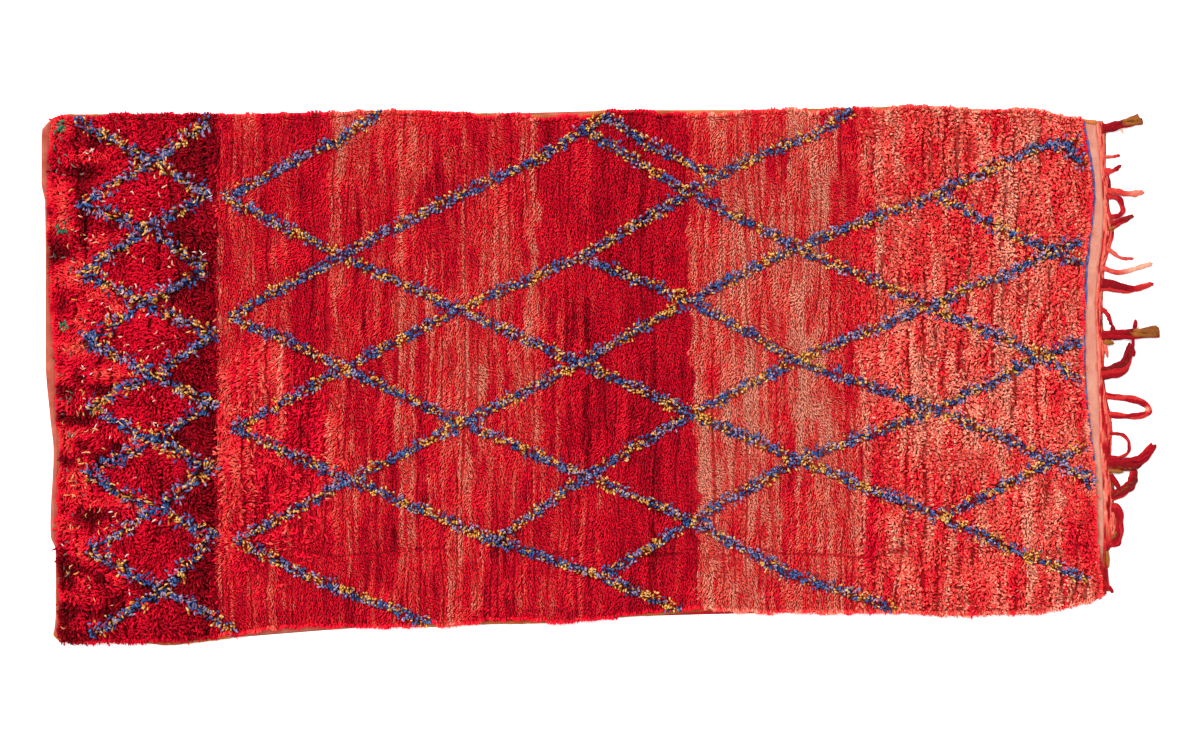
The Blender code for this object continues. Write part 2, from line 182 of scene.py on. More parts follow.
def new_piece(name, points, faces, wool, slot, places=None, marks=None):
    """A smooth-shaded piece that lies with the rug. Faces come as one array for each number of
    corners, places are the UV places of those corners, and marks are values held at the points."""
    mesh = bpy.data.meshes.new(name)
    corners = np.concatenate([f.ravel() for f in faces])
    sizes = np.concatenate([np.full(len(f), f.shape[1]) for f in faces])
    mesh.vertices.add(len(points))
    mesh.vertices.foreach_set("co", points.astype(np.float32).ravel())
    mesh.loops.add(len(corners))
    mesh.loops.foreach_set("vertex_index", corners.astype(np.int32))
    mesh.polygons.add(len(sizes))
    starts = np.concatenate(([0], np.cumsum(sizes)[:-1]))
    mesh.polygons.foreach_set("loop_start", starts.astype(np.int32))
    mesh.update(calc_edges=True)
    mesh.shade_smooth()
    if places is not None:
        mesh.uv_layers.new(name="OFBake").data.foreach_set("uv", places.astype(np.float32).ravel())
    for mark, values in (marks or {}).items():
        held = mesh.attributes.new(mark, "FLOAT", "POINT")
        held.data.foreach_set("value", values.astype(np.float32).ravel())
    mesh.materials.append(wool.material)
    piece = bpy.data.objects.new(name, mesh)
    bpy.context.scene.collection.objects.link(piece)
    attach(piece, "root")
    return piece


class Amount:
    """A number that varies over a surface. Sums and products of it add their own Math nodes."""

    def __init__(self, wool, output):
        self.wool = wool
        self.output = output

    def work(self, operation, *values):
        """A new amount: a Math node's work on these values."""
        return self.wool.node("Math", {"operation": operation}, dict(enumerate(values)))

    def __add__(self, other):
        return self.work("ADD", self, other)

    def __sub__(self, other):
        return self.work("SUBTRACT", self, other)

    def __rsub__(self, other):
        return self.work("SUBTRACT", other, self)

    def __mul__(self, other):
        return self.work("MULTIPLY", self, other)

    __radd__ = __add__
    __rmul__ = __mul__


class Wool:
    """A matt wool with hardly any shine. All its nodes come from one method."""

    def __init__(self, name, shine=0.06):
        self.material = bpy.data.materials.new(name)
        self.material.use_nodes = True
        self.tree = self.material.node_tree
        self.shader = self.tree.nodes["Principled BSDF"]
        self.put(self.shader, {"Roughness": 0.9, "Specular IOR Level": shine})

    def put(self, node, sockets):
        """Links or sets a node's sockets, named or numbered."""
        for key, value in sockets.items():
            if isinstance(value, Amount):
                self.tree.links.new(value.output, node.inputs[key])
            else:
                node.inputs[key].default_value = value

    def node(self, kind, settings=None, sockets=None, output=0):
        """A new node of a kind, with its settings made first. Stops are the colours of a ramp."""
        made = self.tree.nodes.new("ShaderNode" + kind)
        for key, value in (settings or {}).items():
            if key == "stops":
                while len(made.color_ramp.elements) < len(value):
                    made.color_ramp.elements.new(1.0)
                for element, (place, colour) in zip(made.color_ramp.elements, value):
                    element.position = place
                    element.color = (*colour, 1.0)
            else:
                setattr(made, key, value)
        self.put(made, sockets or {})
        return Amount(self, made.outputs[output])

    def mark(self, name):
        """A value held at the points of the mesh."""
        return self.node("Attribute", {"attribute_name": name}, output="Fac")

    def place(self):
        """Where a point is on the rug, in metres."""
        return self.node("TexCoord", output="Object")

    def ramp(self, amount, *stops):
        """The colour of an amount on a row of stops, each a place from 0 to 1 and a colour."""
        return self.node("ValToRGB", {"stops": stops}, {0: amount})

    def mix(self, amount, first, second, way="MIX"):
        """Two colours mixed. The node's sockets 6 and 7 are its colours, and output 2 the mix."""
        first, second = [c if isinstance(c, Amount) else (*c, 1.0) for c in (first, second)]
        settings = {"data_type": "RGBA", "blend_type": way}
        return self.node("Mix", settings, {0: amount, 6: first, 7: second}, output=2)

    def spots(self, scale, detail):
        """A noise from 0 to 1 with so many spots to a metre every way."""
        settings = {"Vector": self.place(), "Scale": scale, "Detail": detail}
        return self.node("TexNoise", None, settings)

    def flecks(self, along, across, detail=1.0):
        """A noise from 0 to 1 with so many spots to a metre along X and along Y."""
        scale = (along, across, 100.0)
        place = self.node("Mapping", None, {"Vector": self.place(), "Scale": scale})
        return self.node("TexNoise", None, {"Vector": place, "Scale": 1.0, "Detail": detail})

    def step(self, amount, start, end):
        """0 where the amount is under start and 1 over end, with a smooth turn between."""
        settings = {"interpolation_type": "SMOOTHSTEP"}
        return self.node("MapRange", settings, {"Value": amount, 1: start, 2: end})

    def finish(self, colour, height=None, depth=0.001):
        """The wool in this colour, and bumpy by a height from 0 to 1 that counts so many metres."""
        self.put(self.shader, {"Base Color": colour})
        if height is not None:
            bump = {"Height": height, "Distance": depth, "Strength": 0.8}
            self.put(self.shader, {"Normal": self.node("Bump", None, bump)})
        return self


def woven_wool():
    """The cloth's wool: coral at the hem, faded pink on the band with red run into its outer side,
    and crimson in the near corner. Its ribs are sine waves across both threads."""
    wool = Wool("woven_wool")
    along, across = [wool.node("SeparateXYZ", None, {0: wool.place()}, output=way) for way in "XY"]
    blotch, fine = wool.spots(22.0, 4.0), wool.spots(260.0, 2.0)
    hem = wool.ramp(blotch, (0.3, (0.29, 0.045, 0.028)), (0.7, (0.41, 0.110, 0.072)))
    band = wool.ramp(blotch, (0.3, (0.42, 0.142, 0.100)), (0.7, (0.50, 0.222, 0.157)))
    run = wool.step(wool.mark("outward") + (blotch - 0.5) * 0.9, 0.80, 1.05)
    band = wool.mix(run * 0.7, band, (0.42, 0.036, 0.034))
    near_corner = wool.step(across + (blotch - 0.5) * 0.08, -0.50, -0.55)
    band = wool.mix(near_corner, band, (0.33, 0.008, 0.012))
    colour = wool.mix(wool.step(along, -0.1, 0.1), hem, band)
    shade = wool.ramp(fine, (0.2, (0.6,) * 3), (0.8, (1.0,) * 3))
    colour = wool.mix(0.5, colour, shade, "MULTIPLY")
    warp = (across * 2100.0).work("SINE", across * 2100.0)
    weft = (along * 1500.0).work("SINE", along * 1500.0)
    return wool.finish(colour, warp * 0.5 + weft * 0.4 + fine * 1.2, 0.0006)


def make_cloth():
    """The cloth is a grid over the outline, closer at the hem and the band. Its top lies one
    thickness up, rolls up over the hem as a half sine, waves a little where it is bare, and comes
    down to about a third within 4 mm of the edges."""
    u = np.concatenate(
        (np.linspace(0, 0.010, 13), np.linspace(0.04, 0.95, 8), np.linspace(0.975, 1, 11))
    )
    v = np.linspace(0, 1, 141)
    u, v = np.meshgrid(u, v, indexing="ij")
    x, y = between(HEM_EDGE, BAND_EDGE, u, v)
    start = reach_of(HEM_EDGE, y)
    roll = np.clip((x - start) / (reach_of(PILE_START, y) - 0.004 - start), 0, 1)
    bulge = np.sin(np.pi * np.clip(roll, 0.04, 1)) ** 0.6
    waver = 0.75 + 0.5 * drift(x, y, 0.03, 0.03, 3)
    bare = fade(x, *BARE_FROM)
    wave = BAND_WAVE * bare * (drift(x, y, 0.03, 0.05, 4) - 0.3) * fade(u, 1.0, 0.985)
    top = CLOTH_THICKNESS + (HEM_HEIGHT - CLOTH_THICKNESS) * bulge * waver * (roll < 1) + wave
    edge = np.minimum(np.minimum(v, 1 - v) * CLOTH_FLAT[0] / EDGE_ROUNDING, roll / 0.05)
    top *= 0.35 + 0.65 * np.clip(edge, 0, 1)
    inner = reach_of(PILE_END, y)
    outward = np.clip((x - inner) / (reach_of(BAND_EDGE, y) - inner), 0, 1)
    points, faces = shell(x, y, top, np.zeros_like(top))
    marks = {"outward": np.tile(outward.ravel(), 2)}
    cloth = new_piece("woven_ground", points, faces, woven_wool(), "weave", marks=marks)
    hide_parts("ground_weave")
    return cloth


cloth = make_cloth()


# The side cords
# Both long edges of the cloth are overcast with rust-brown wool round a few doubled warps. The pile
# leans out over these cords, and they show only where it stands back from the edge.

CORD_WIDTH = 0.013
CORD_HEIGHT = 0.0058
CORD_INSET = 0.0062
CORD_LIFT = 0.0004
CORD_WRAP = 0.009
CORD_REACH = (-1.585, 1.440)

# Where the pile stands back from a long edge, and how far, with turns so long at both its ends
BARE_TURN = 0.012
Bare = namedtuple("Bare", "start end back")
FAR_BARE = (
    Bare(-1.560, -1.430, 0.010),
    Bare(-0.370, -0.300, 0.010),
    Bare(-0.200, -0.125, 0.010),
    Bare(-0.060, 0.020, 0.012),
    Bare(0.160, 0.395, 0.009),
    Bare(0.600, 0.650, 0.012),
    Bare(0.800, 0.845, 0.010),
)
NEAR_BARE = (
    Bare(-1.320, -1.065, 0.010),
    Bare(-0.500, -0.470, 0.012),
    Bare(-0.355, -0.155, 0.010),
    Bare(0.050, 0.325, 0.009),
)


def waver(at, size, seed, line=0.0):
    """Soft noise from 0 to 1 along a line. Lines with other numbers have noises of their own."""
    return drift(at, at * 0 + line, size, 1.0, seed)


def beside(path):
    """The unit vector to the left of a flat path at each of its points."""
    step = np.gradient(path, axis=0)
    side = np.stack((-step[:, 1], step[:, 0]), axis=1)
    return side / np.linalg.norm(side, axis=1, keepdims=True)


def rope(path, widths, heights, lift, pitch, blunt=False, sides=8):
    """Points and faces of a two-ply yarn along a path on the floor. Its section is an ellipse that
    swells over each ply and turns by one whole turn each pitch. Both its ends are closed, and the
    last comes to a point unless it is blunt."""
    side = beside(path)
    length = np.concatenate(([0], np.cumsum(np.linalg.norm(np.diff(path, axis=0), axis=1))))
    angle = np.linspace(0, 2 * np.pi, sides, endpoint=False)
    turn = 2 * np.pi * length[:, None] / pitch
    swell = 0.84 + 0.16 * np.abs(np.cos(angle[None, :] + turn))
    out = swell * np.cos(angle) * widths[:, None] / 2
    up = swell * np.sin(angle) * heights[:, None] / 2 + heights[:, None] / 2 + lift
    flat = path[:, None, :] + side[:, None, :] * out[:, :, None]
    rings = np.concatenate((flat, up[:, :, None]), axis=2)
    count = len(path)
    index = np.arange(count * sides).reshape(count, sides)
    after = np.roll(index, -1, axis=1)
    walls = np.stack((index[:-1], index[1:], after[1:], after[:-1]), axis=-1).reshape(-1, 4)
    ends = rings[[0, -1]].mean(axis=1)
    if not blunt:
        ahead = np.array((side[-1, 1], -side[-1, 0]))
        ends[1, :2] += ahead * widths[-1] * 0.5
    first = np.stack((index[0], after[0], np.full(sides, count * sides)), axis=-1)
    last = np.stack((after[-1], index[-1], np.full(sides, count * sides + 1)), axis=-1)
    points = np.concatenate((rings.reshape(-1, 3), ends))
    return points, [walls, np.concatenate((first, last))]


def joined(parts):
    """Several (points, faces) made one, with each part's faces counted on from the last one's."""
    first, points, faces = 0, [], {}
    for part_points, part_faces in parts:
        points.append(part_points)
        for rows in part_faces:
            faces.setdefault(rows.shape[1], []).append(rows + first)
        first += len(part_points)
    return np.concatenate(points), [np.concatenate(rows) for rows in faces.values()]


def overcast_wool():
    """Rust-brown wool, darker in blotches, with its wraps as slanting ridges."""
    wool = Wool("overcast_wool")
    wrap = {"Vector": wool.place(), "Scale": 60.0, "Distortion": 1.5, "Detail": 2.0}
    wraps = wool.node("TexWave", {"bands_direction": "X"}, wrap, output="Fac")
    stops = (
        (0.25, (0.11, 0.028, 0.010)),
        (0.50, (0.30, 0.075, 0.018)),
        (0.75, (0.46, 0.140, 0.040)),
    )
    colour = wool.ramp(wool.spots(14.0, 5.0) * 0.8 + wraps * 0.25, *stops)
    return wool.finish(colour, wraps, 0.0012)


def make_side_cords():
    """Each cord runs along its long edge, a little inside it, from the hem to the band."""
    x = np.linspace(*CORD_REACH, 420)
    tall = np.full_like(x, CORD_HEIGHT)
    wide = CORD_WIDTH * (0.85 + 0.4 * waver(x, 0.05, 11))
    far = np.stack((x, reach_of(FAR_EDGE, x) - CORD_INSET), axis=1)
    near = np.stack((x[::-1], reach_of(NEAR_EDGE, x[::-1]) + CORD_INSET), axis=1)
    cords = [rope(path, wide, tall, CORD_LIFT, CORD_WRAP * 2) for path in (far, near)]
    return new_piece("side_cords", *joined(cords), overcast_wool(), "weave")


side_cords = make_side_cords()


# The blue line
# One thick blue yarn is laid in along the edge of the pile where the bare band begins. It thins out
# half way across and is lost under the pile beyond that.

LINE_WIDTH = 0.0072
LINE_REACH = (0.738, -0.245)
LINE_OUT = 0.0068
LINE_SUNK = 0.0003
LINE_TWIST = 0.012


def blue_wool():
    """Navy to blue wool, worn to lavender in spots."""
    wool = Wool("blue_wool")
    worn = wool.spots(45.0, 5.0)
    stops = ((0.3, (0.030, 0.040, 0.15)), (0.6, (0.075, 0.095, 0.27)), (0.8, (0.24, 0.18, 0.28)))
    return wool.finish(wool.ramp(worn, *stops), worn, 0.0006)


def make_blue_line():
    """A yarn along the end of the pile, thinner by a noise and towards its near end."""
    y = np.linspace(*LINE_REACH, 250)
    path = np.stack((reach_of(PILE_END, y) + LINE_OUT, y), axis=1)
    path[:, 0] += 0.002 * (waver(y, 0.02, 21) - 0.5)
    thin = 1 - 0.45 * fade(y, 0.24, 0.15) * (1 - 0.6 * fade(y, -0.07, -0.12))
    wide = LINE_WIDTH * thin * (0.8 + 0.4 * waver(y, 0.015, 22))
    points, faces = rope(path, wide, wide * 0.5, CLOTH_THICKNESS - LINE_SUNK, LINE_TWIST)
    return new_piece("blue_line", points, faces, blue_wool(), "weave")


blue_line = make_blue_line()


# The red pile
# Knots of crimson and faded red wool are tied on the cloth row by row. Each dye lot is a band of
# rows from edge to edge, and the tufts are short in the field, and long and ragged at both ends.

PILE_FLOOR = 0.0033
PILE_LOWEST_TOP = 0.011
PILE_CELL = 0.01
ROOT_INSET = 0.005
ROOT_DEPTH = 0.0006
LAST_RING = 0.86
KNOTS_REACH = 0.79
KNOT_SHIFT = 0.42
RIM_SPACING = 0.0050
RIM_INSETS = (0.003, 0.008, 0.013)
RIM_ROOT_DEPTH = 0.001
RIM_WIDTH = 0.0066
RIM_CURL = 0.0025
RIM_BUMPS = (-0.0062, 0.0098)
BED_INSET = 0.008
BED_SUNK = 0.0012
END_PANEL_EDGE = -1.114
SHAGGY_START = 0.70
SHAGGY_FULL = 0.95
PATCH_X = -0.96
PATCH_Y = -0.24
PATCH_SIZE = 0.26

# What changes from the field's close pile to the ragged pile at both ends: how far the foot of the
# pile lies under its top, how high its lumps are, how deep it is sunk, how widely its tufts turn
BED_DEPTH = (0.0070, 0.0106)
LUMPS = (0.0025, 0.0075)
SUNK_DEPTH = (0.0026, 0.0070)
WIDE_TURN = (2.2, 6.0)

# Where rows part: how steeply their lie has to change, how much of the pile has partings, from how
# far off a parting fades in to where it is full, and how strongly tufts lean out of it
STEEP_LIE = (6.0, 16.0)
SOME_PART = (0.30, 0.55)
PARTING_SIDES = (0.0048, 0.0015)
PARTED_SIDES = (0.0085, 0.0025)
PARTED_END = 0.03
CREASE_SIDES = (0.0080, 0.0022)
CREASE_START = (-1.0, -0.7)
CREASE_Y = -0.512
PARTING_PUSH = 2.2

# Where each dye lot begins at the far and the near edge, and how faded its wool is at the far edge,
# in the middle and at the near edge: 0 is crimson, 1 salmon, and under 0 maroon
DyeLot = namedtuple("DyeLot", "far near far_fade middle_fade near_fade")
DYE_LOTS = (
    DyeLot(-1.114, -1.108, 0.26, 0.42, 0.30),
    DyeLot(-1.045, -1.045, 0.36, 0.52, 0.46),
    DyeLot(-0.900, -0.900, 0.16, 0.11, 0.18),
    DyeLot(-0.784, -0.784, 0.44, 0.32, 0.24),
    DyeLot(-0.595, -0.581, 0.30, 0.68, 0.32),
    DyeLot(-0.465, -0.465, 0.34, 0.58, 0.38),
    DyeLot(-0.233, -0.349, 0.56, 0.52, 0.26),
    DyeLot(-0.183, -0.160, 0.10, 0.24, 0.34),
    DyeLot(-0.030, -0.001, 0.02, 0.06, 0.06),
    DyeLot(0.246, 0.290, 0.60, 0.88, 0.84),
    DyeLot(0.420, 0.463, 0.60, 0.76, 0.70),
    DyeLot(0.536, 0.579, 0.96, 0.84, 0.76),
    DyeLot(0.637, 0.724, 0.50, 0.64, 0.70),
    DyeLot(0.782, 0.869, 0.76, 0.86, 0.84),
    DyeLot(0.985, 1.014, 0.86, 0.90, 0.90),
    DyeLot(1.188, 1.188, 0.92, 0.84, 0.84),
    DyeLot(1.333, 1.333, 0.84, 0.76, 0.68),
)

# Noises that make a dye uneven: how strong each is, its size along and across the rug, its seed
Noise = namedtuple("Noise", "amount along across seed")
STREAKS = (
    Noise(0.85, 0.009, 0.16, 33), Noise(0.50, 0.040, 0.40, 34), Noise(0.60, 0.0055, 0.05, 42),
)
BLOTCHES = (Noise(0.22, 0.05, 0.09, 35), Noise(0.30, 0.013, 0.022, 36))
SWIRLS = (Noise(1.35, 0.050, 0.040, 47),)

# The end panel's chain of diamonds: its outer tips, the crossings along its middle, its inner tips
OUTER_TIPS = (
    (-1.514, 0.738), (-1.503, 0.500), (-1.497, 0.300), (-1.491, 0.103),
    (-1.485, -0.091), (-1.485, -0.286), (-1.480, -0.509), (-1.474, -0.747),
)
CROSSINGS = (
    (-1.297, 0.619), (-1.308, 0.428), (-1.314, 0.210), (-1.297, 0.007),
    (-1.303, -0.184), (-1.291, -0.387), (-1.262, -0.625),
)
INNER_TIPS = (
    (-1.143, 0.738), (-1.132, 0.529), (-1.146, 0.309), (-1.120, 0.120),
    (-1.126, -0.086), (-1.129, -0.268), (-1.126, -0.457), (-1.074, -0.729),
)


def zigzag(tips, y):
    """How far along the panel's line lies at y, from tip to crossing to tip."""
    points = sorted(tips + CROSSINGS, key=lambda point: point[1])
    places = np.array(points)
    return np.interp(y, places[:, 1], places[:, 0])


def uneven(x, y, noises):
    """The sum of several noises, each of which swings as far under 0 as over it."""
    return sum(n.amount * (drift(x, y, n.along, n.across, n.seed) - 0.5) for n in noises)


def dye_at(x, y):
    """How faded the wool is, as in the dye lots. A lot's fade runs straight from the far edge to
    the middle, and from there to the near edge. The end panel is crimson outside its diamonds,
    darker in them, and maroon between them and the field. Streaks along the rows and blotches come
    on top, calmer in crimson wool and in the panel. The panel's outer side has swirls as well."""
    near, far = reach_of(NEAR_EDGE, x), reach_of(FAR_EDGE, x)
    v = np.clip((y - near) / (far - near), 0, 1)
    ragged = 0.016 * (drift(x * 0, y, 1.0, 0.060, 31) - 0.5)
    ragged += 0.012 * (drift(x, y, 0.01, 0.02, 32) - 0.5)
    faded = np.zeros_like(x)
    for lot in DYE_LOTS:
        own = np.interp(v, (0, 0.5, 1), (lot.near_fade, lot.middle_fade, lot.far_fade))
        begins = lot.near + v * (lot.far - lot.near) + ragged
        faded = np.where(x >= begins, own, faded)
    panel = x < END_PANEL_EDGE + 0.3 * ragged
    outer = x < zigzag(OUTER_TIPS, y)
    inner = x > zigzag(INNER_TIPS, y)
    diamonds = -0.03 - 0.14 * fade(x, -1.26, -1.18)
    own = np.where(outer, 0.01, np.where(inner, -0.30, diamonds))
    faded = np.where(panel, own, faded)
    calm = 1 - 0.45 * (faded < 0.2) - 0.2 * panel
    streaks = (1 - 0.4 * panel) * uneven(x, y, STREAKS)
    swirls = panel * outer * uneven(x, y, SWIRLS)
    return faded + calm * (streaks + uneven(x, y, BLOTCHES)) + swirls


def dyed_wool():
    """The pile's wool. Its colour goes from maroon by crimson to salmon with the fade held at the
    points, which flecks as fine as a yarn make uneven. Painted shade darkens it towards the foot of
    a tuft, by the height held at its points, and more where a tuft is marked as less lit."""
    wool = Wool("dyed_wool")
    flecks = wool.flecks(300.0, 130.0)
    faded = wool.mark("faded") + (flecks - 0.5) * 0.5
    stops = (
        (0.00, (0.190, 0.0004, 0.005)),
        (0.25, (0.740, 0.002, 0.024)),
        (0.44, (0.945, 0.010, 0.032)),
        (0.60, (0.960, 0.044, 0.044)),
        (0.78, (0.975, 0.140, 0.100)),
        (1.00, (0.970, 0.335, 0.225)),
    )
    colour = wool.ramp((faded + 0.4) * 0.625, *stops)
    # Painted shade, by the height held at the points: dark at a tuft's foot and light at its tip
    shades = (
        (0.00, (0.24, 0.17, 0.18)),
        (0.15, (0.70, 0.66, 0.66)),
        (0.55, (0.90, 0.90, 0.90)),
        (0.95, (1.0, 1.0, 1.0)),
    )
    shade = wool.ramp(wool.mark("height"), *shades)
    return wool.finish(wool.mix(1.0, colour, shade, "MULTIPLY"), flecks, 0.0012)


def solid_top():
    """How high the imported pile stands, as a function: plumb lines dropped on a grid of its top,
    with straight slopes between them."""
    low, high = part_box("pile")
    tree = BVHTree.FromObject(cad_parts["pile"], bpy.context.evaluated_depsgraph_get())
    xs = np.arange(low.x, high.x + PILE_CELL, PILE_CELL)
    ys = np.arange(low.y, high.y + PILE_CELL, PILE_CELL)
    down = Vector((0, 0, -1))
    hits = [[tree.ray_cast(Vector((x, y, 1)), down)[0] for y in ys] for x in xs]
    heights = np.array([[hit.z if hit else 0.0 for hit in row] for row in hits])
    heights = np.maximum(heights, PILE_LOWEST_TOP)

    def top(x, y):
        along, across = (x - xs[0]) / PILE_CELL, (y - ys[0]) / PILE_CELL
        i = np.clip(np.floor(along).astype(int), 0, len(xs) - 2)
        j = np.clip(np.floor(across).astype(int), 0, len(ys) - 2)
        return over_cell(heights, i, j, np.clip(along - i, 0, 1), np.clip(across - j, 0, 1))

    return top


pile_top = solid_top()


def window(value, start, end, soft):
    """1 between start and end and 0 outside them, with smooth turns so wide just inside them."""
    return fade(value, start, start + soft) * fade(value, end, end - soft)


def stood_back(x, bares):
    """How far the pile stands back from a long edge at x."""
    back = np.zeros_like(x)
    for bare in bares:
        shown = window(x, bare.start - BARE_TURN / 2, bare.end + BARE_TURN / 2, BARE_TURN)
        back = np.maximum(back, bare.back * shown)
    return back


def room_at(x, y):
    """How far a place lies inside the pile's four edges: start, end, near and far."""
    return np.stack(
        (
            x - reach_of(PILE_START, y),
            reach_of(PILE_END, y) - x,
            y - reach_of(NEAR_EDGE, x) - stood_back(x, NEAR_BARE),
            reach_of(FAR_EDGE, x) - y - stood_back(x, FAR_BARE),
        )
    )


def raggedness(x, y):
    """0 over the field's close pile, and 1 over the long pile of the end panel and the shaggy end.
    A round patch of the field next to the panel is half as ragged."""
    panel = fade(x, END_PANEL_EDGE + 0.012, END_PANEL_EDGE - 0.012)
    patch = 0.6 * fade(np.hypot(x - PATCH_X, (y - PATCH_Y) * 0.6), PATCH_SIZE, PATCH_SIZE * 0.5)
    return np.maximum(np.maximum(panel, patch), fade(x, SHAGGY_START, SHAGGY_FULL))


def by_raggedness(ends, x, y):
    """A measure that goes straight from the field's to the ragged pile's."""
    field, ragged = ends
    return field + (ragged - field) * raggedness(x, y)


def row_lie(x, y):
    """A noise from -1 to 1, long across the rug. The rows of tufts part where it passes 0."""
    return drift(x, y, 0.034, 0.34, 37) * 2 - 1


# Deep partings between two rows: how far along the rug, and from where to where across it
Parted = namedtuple("Parted", "along low high")
PARTED = (
    Parted(0.962, 0.53, 0.72), Parted(1.038, 0.59, 0.74), Parted(1.067, 0.20, 0.45),
    Parted(1.058, -0.06, 0.11), Parted(0.820, 0.17, 0.38), Parted(0.875, 0.19, 0.37),
    Parted(1.136, 0.46, 0.60), Parted(1.203, -0.22, 0.02), Parted(1.290, -0.40, -0.16),
    Parted(-0.920, 0.63, 0.74), Parted(-0.592, -0.02, 0.23), Parted(-0.790, 0.09, 0.25),
    Parted(-0.430, -0.02, 0.11), Parted(-0.860, -0.30, -0.12),
)


def parting(x, y):
    """1 in a line where the rows part and 0 beside it. Some stretches have none, and one long
    crease runs the other way, from the end panel to the band, where the rug has been folded."""
    some = fade(drift(x, y, 0.20, 0.24, 38), *SOME_PART)
    slope = np.abs(row_lie(x + 0.001, y) - row_lie(x - 0.001, y)) / 0.002
    off_row = np.abs(row_lie(x, y)) / np.maximum(slope, 8.0) / (1 + 0.7 * raggedness(x, y))
    rows = fade(off_row, *PARTING_SIDES) * some * fade(slope, *STEEP_LIE)
    for row in PARTED:
        off_row = np.abs(x - row.along - 0.010 * (waver(y, 0.05, 48, row.along / 0.01) - 0.5))
        here = fade(off_row, *PARTED_SIDES) * window(y, row.low, row.high, PARTED_END)
        rows = np.maximum(rows, here)
    off = y - CREASE_Y - 0.030 * (waver(x, 0.11, 43) - 0.5)
    crease = fade(np.abs(off), *CREASE_SIDES) * fade(x, *CREASE_START)
    return np.maximum(rows, crease * fade(waver(x, 0.07, 44), 0.1, 0.5))


def crevices(x, y):
    """1 in the winding lines between clumps of long tufts and 0 on the clumps: the lines are where
    a noise two or three centimetres wide passes its middle."""
    clump = np.abs(drift(x, y, 0.019, 0.026, 45) - 0.5)
    finer = np.abs(drift(x, y, 0.011, 0.015, 46) - 0.5)
    lines = np.maximum(fade(clump, 0.075, 0.015), 0.7 * fade(finer, 0.060, 0.010))
    return lines * raggedness(x, y)


def sunk(x, y):
    """How far a tuft has sunk between its neighbours, from 0 to 1: in a parting or in a crevice."""
    return np.maximum(parting(x, y), 0.40 * crevices(x, y))


def surface(x, y):
    """Where the tips of the tufts come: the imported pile's top with small lumps and sunk places."""
    lumps = by_raggedness(LUMPS, x, y) * (drift(x, y, 0.028, 0.038, 39) - 0.5)
    return pile_top(x, y) + lumps - by_raggedness(SUNK_DEPTH, x, y) * sunk(x, y)


def bed_height(x, y):
    """The felted foot of the pile, so far under its top but always a little over the cloth."""
    return np.maximum(pile_top(x, y) - by_raggedness(BED_DEPTH, x, y), PILE_FLOOR + 0.0012)


def make_pile_bed():
    """The feet of the tufts, matted together: a grid inside the pile's outline, closed below. It is
    painted dark, as painted shade in the gaps and partings between the tufts.
    """
    u, v = np.meshgrid(np.linspace(0, 1, 101), np.linspace(0, 1, 51), indexing="ij")
    x, y = between(PILE_START, PILE_END, u, v, BED_INSET)
    top = bed_height(x, y)
    top -= BED_SUNK * (top > PILE_FLOOR + 0.002)
    points, faces = shell(x, y, top, np.full_like(x, PILE_FLOOR))
    faded = np.tile(dye_at(x, y).ravel(), 2)
    # Painted shade: the bed's fade is pushed towards maroon and its height held near 0, so it is
    # dark where it shows between the tufts
    marks = {"faded": faded - 0.2, "height": np.full_like(faded, 0.02)}
    bed = new_piece("pile_bed", points, faces, tuft_wool, "pile", marks=marks)
    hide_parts("pile")
    return bed


def lock_shapes(root, heading, reach, rise, width, curl, turn, rings):
    """Points of many tapering three-sided locks of yarn, as an array (locks, points, 3).

    Along a lock t goes from 0 at its root to 1 at its tip. Its middle goes out along its heading by
    reach * t^1.4, up by rise * sin(90 degrees * t) and aside by curl * sin(180 degrees * t). Each
    ring is a triangle square to that path, fullest above the lock's middle, and the tip a point."""
    t = np.linspace(0, LAST_RING, rings)
    stations = np.append(t, 1.0)[None, :]
    aside = np.stack((-heading[:, 1], heading[:, 0]), axis=1)
    out = reach[:, None] * stations**1.4
    up = rise[:, None] * np.sin(np.pi / 2 * stations)
    bent = curl[:, None] * np.sin(np.pi * stations)
    middle = np.empty((len(root), rings + 1, 3))
    middle[:, :, :2] = (
        root[:, None, :2]
        + heading[:, None, :] * out[:, :, None]
        + aside[:, None, :] * bent[:, :, None]
    )
    middle[:, :, 2] = root[:, None, 2] + up
    out_rate = 1.4 * reach[:, None] * t[None, :] ** 0.4 + 1e-4
    up_rate = rise[:, None] * np.pi / 2 * np.cos(np.pi / 2 * t)[None, :]
    length = np.hypot(out_rate, up_rate)
    over = np.empty((len(root), rings, 3))
    over[:, :, :2] = -heading[:, None, :] * (up_rate / length)[:, :, None]
    over[:, :, 2] = out_rate / length
    flat = np.zeros((len(root), 1, 3))
    flat[:, 0, :2] = aside
    radius = width[:, None] / 2 * np.interp(t, (0, 0.45, LAST_RING), (0.7, 1.1, 0.85))[None, :]
    angle = turn[:, None] + np.arange(3) * 2 * np.pi / 3
    spread = (
        np.cos(angle)[:, None, :, None] * -flat[:, :, None, :]
        + np.sin(angle)[:, None, :, None] * over[:, :, None, :]
    )
    ring = middle[:, :rings, None, :] + spread * radius[:, :, None, None]
    return np.concatenate((ring.reshape(len(root), -1, 3), middle[:, rings:, :]), axis=1)


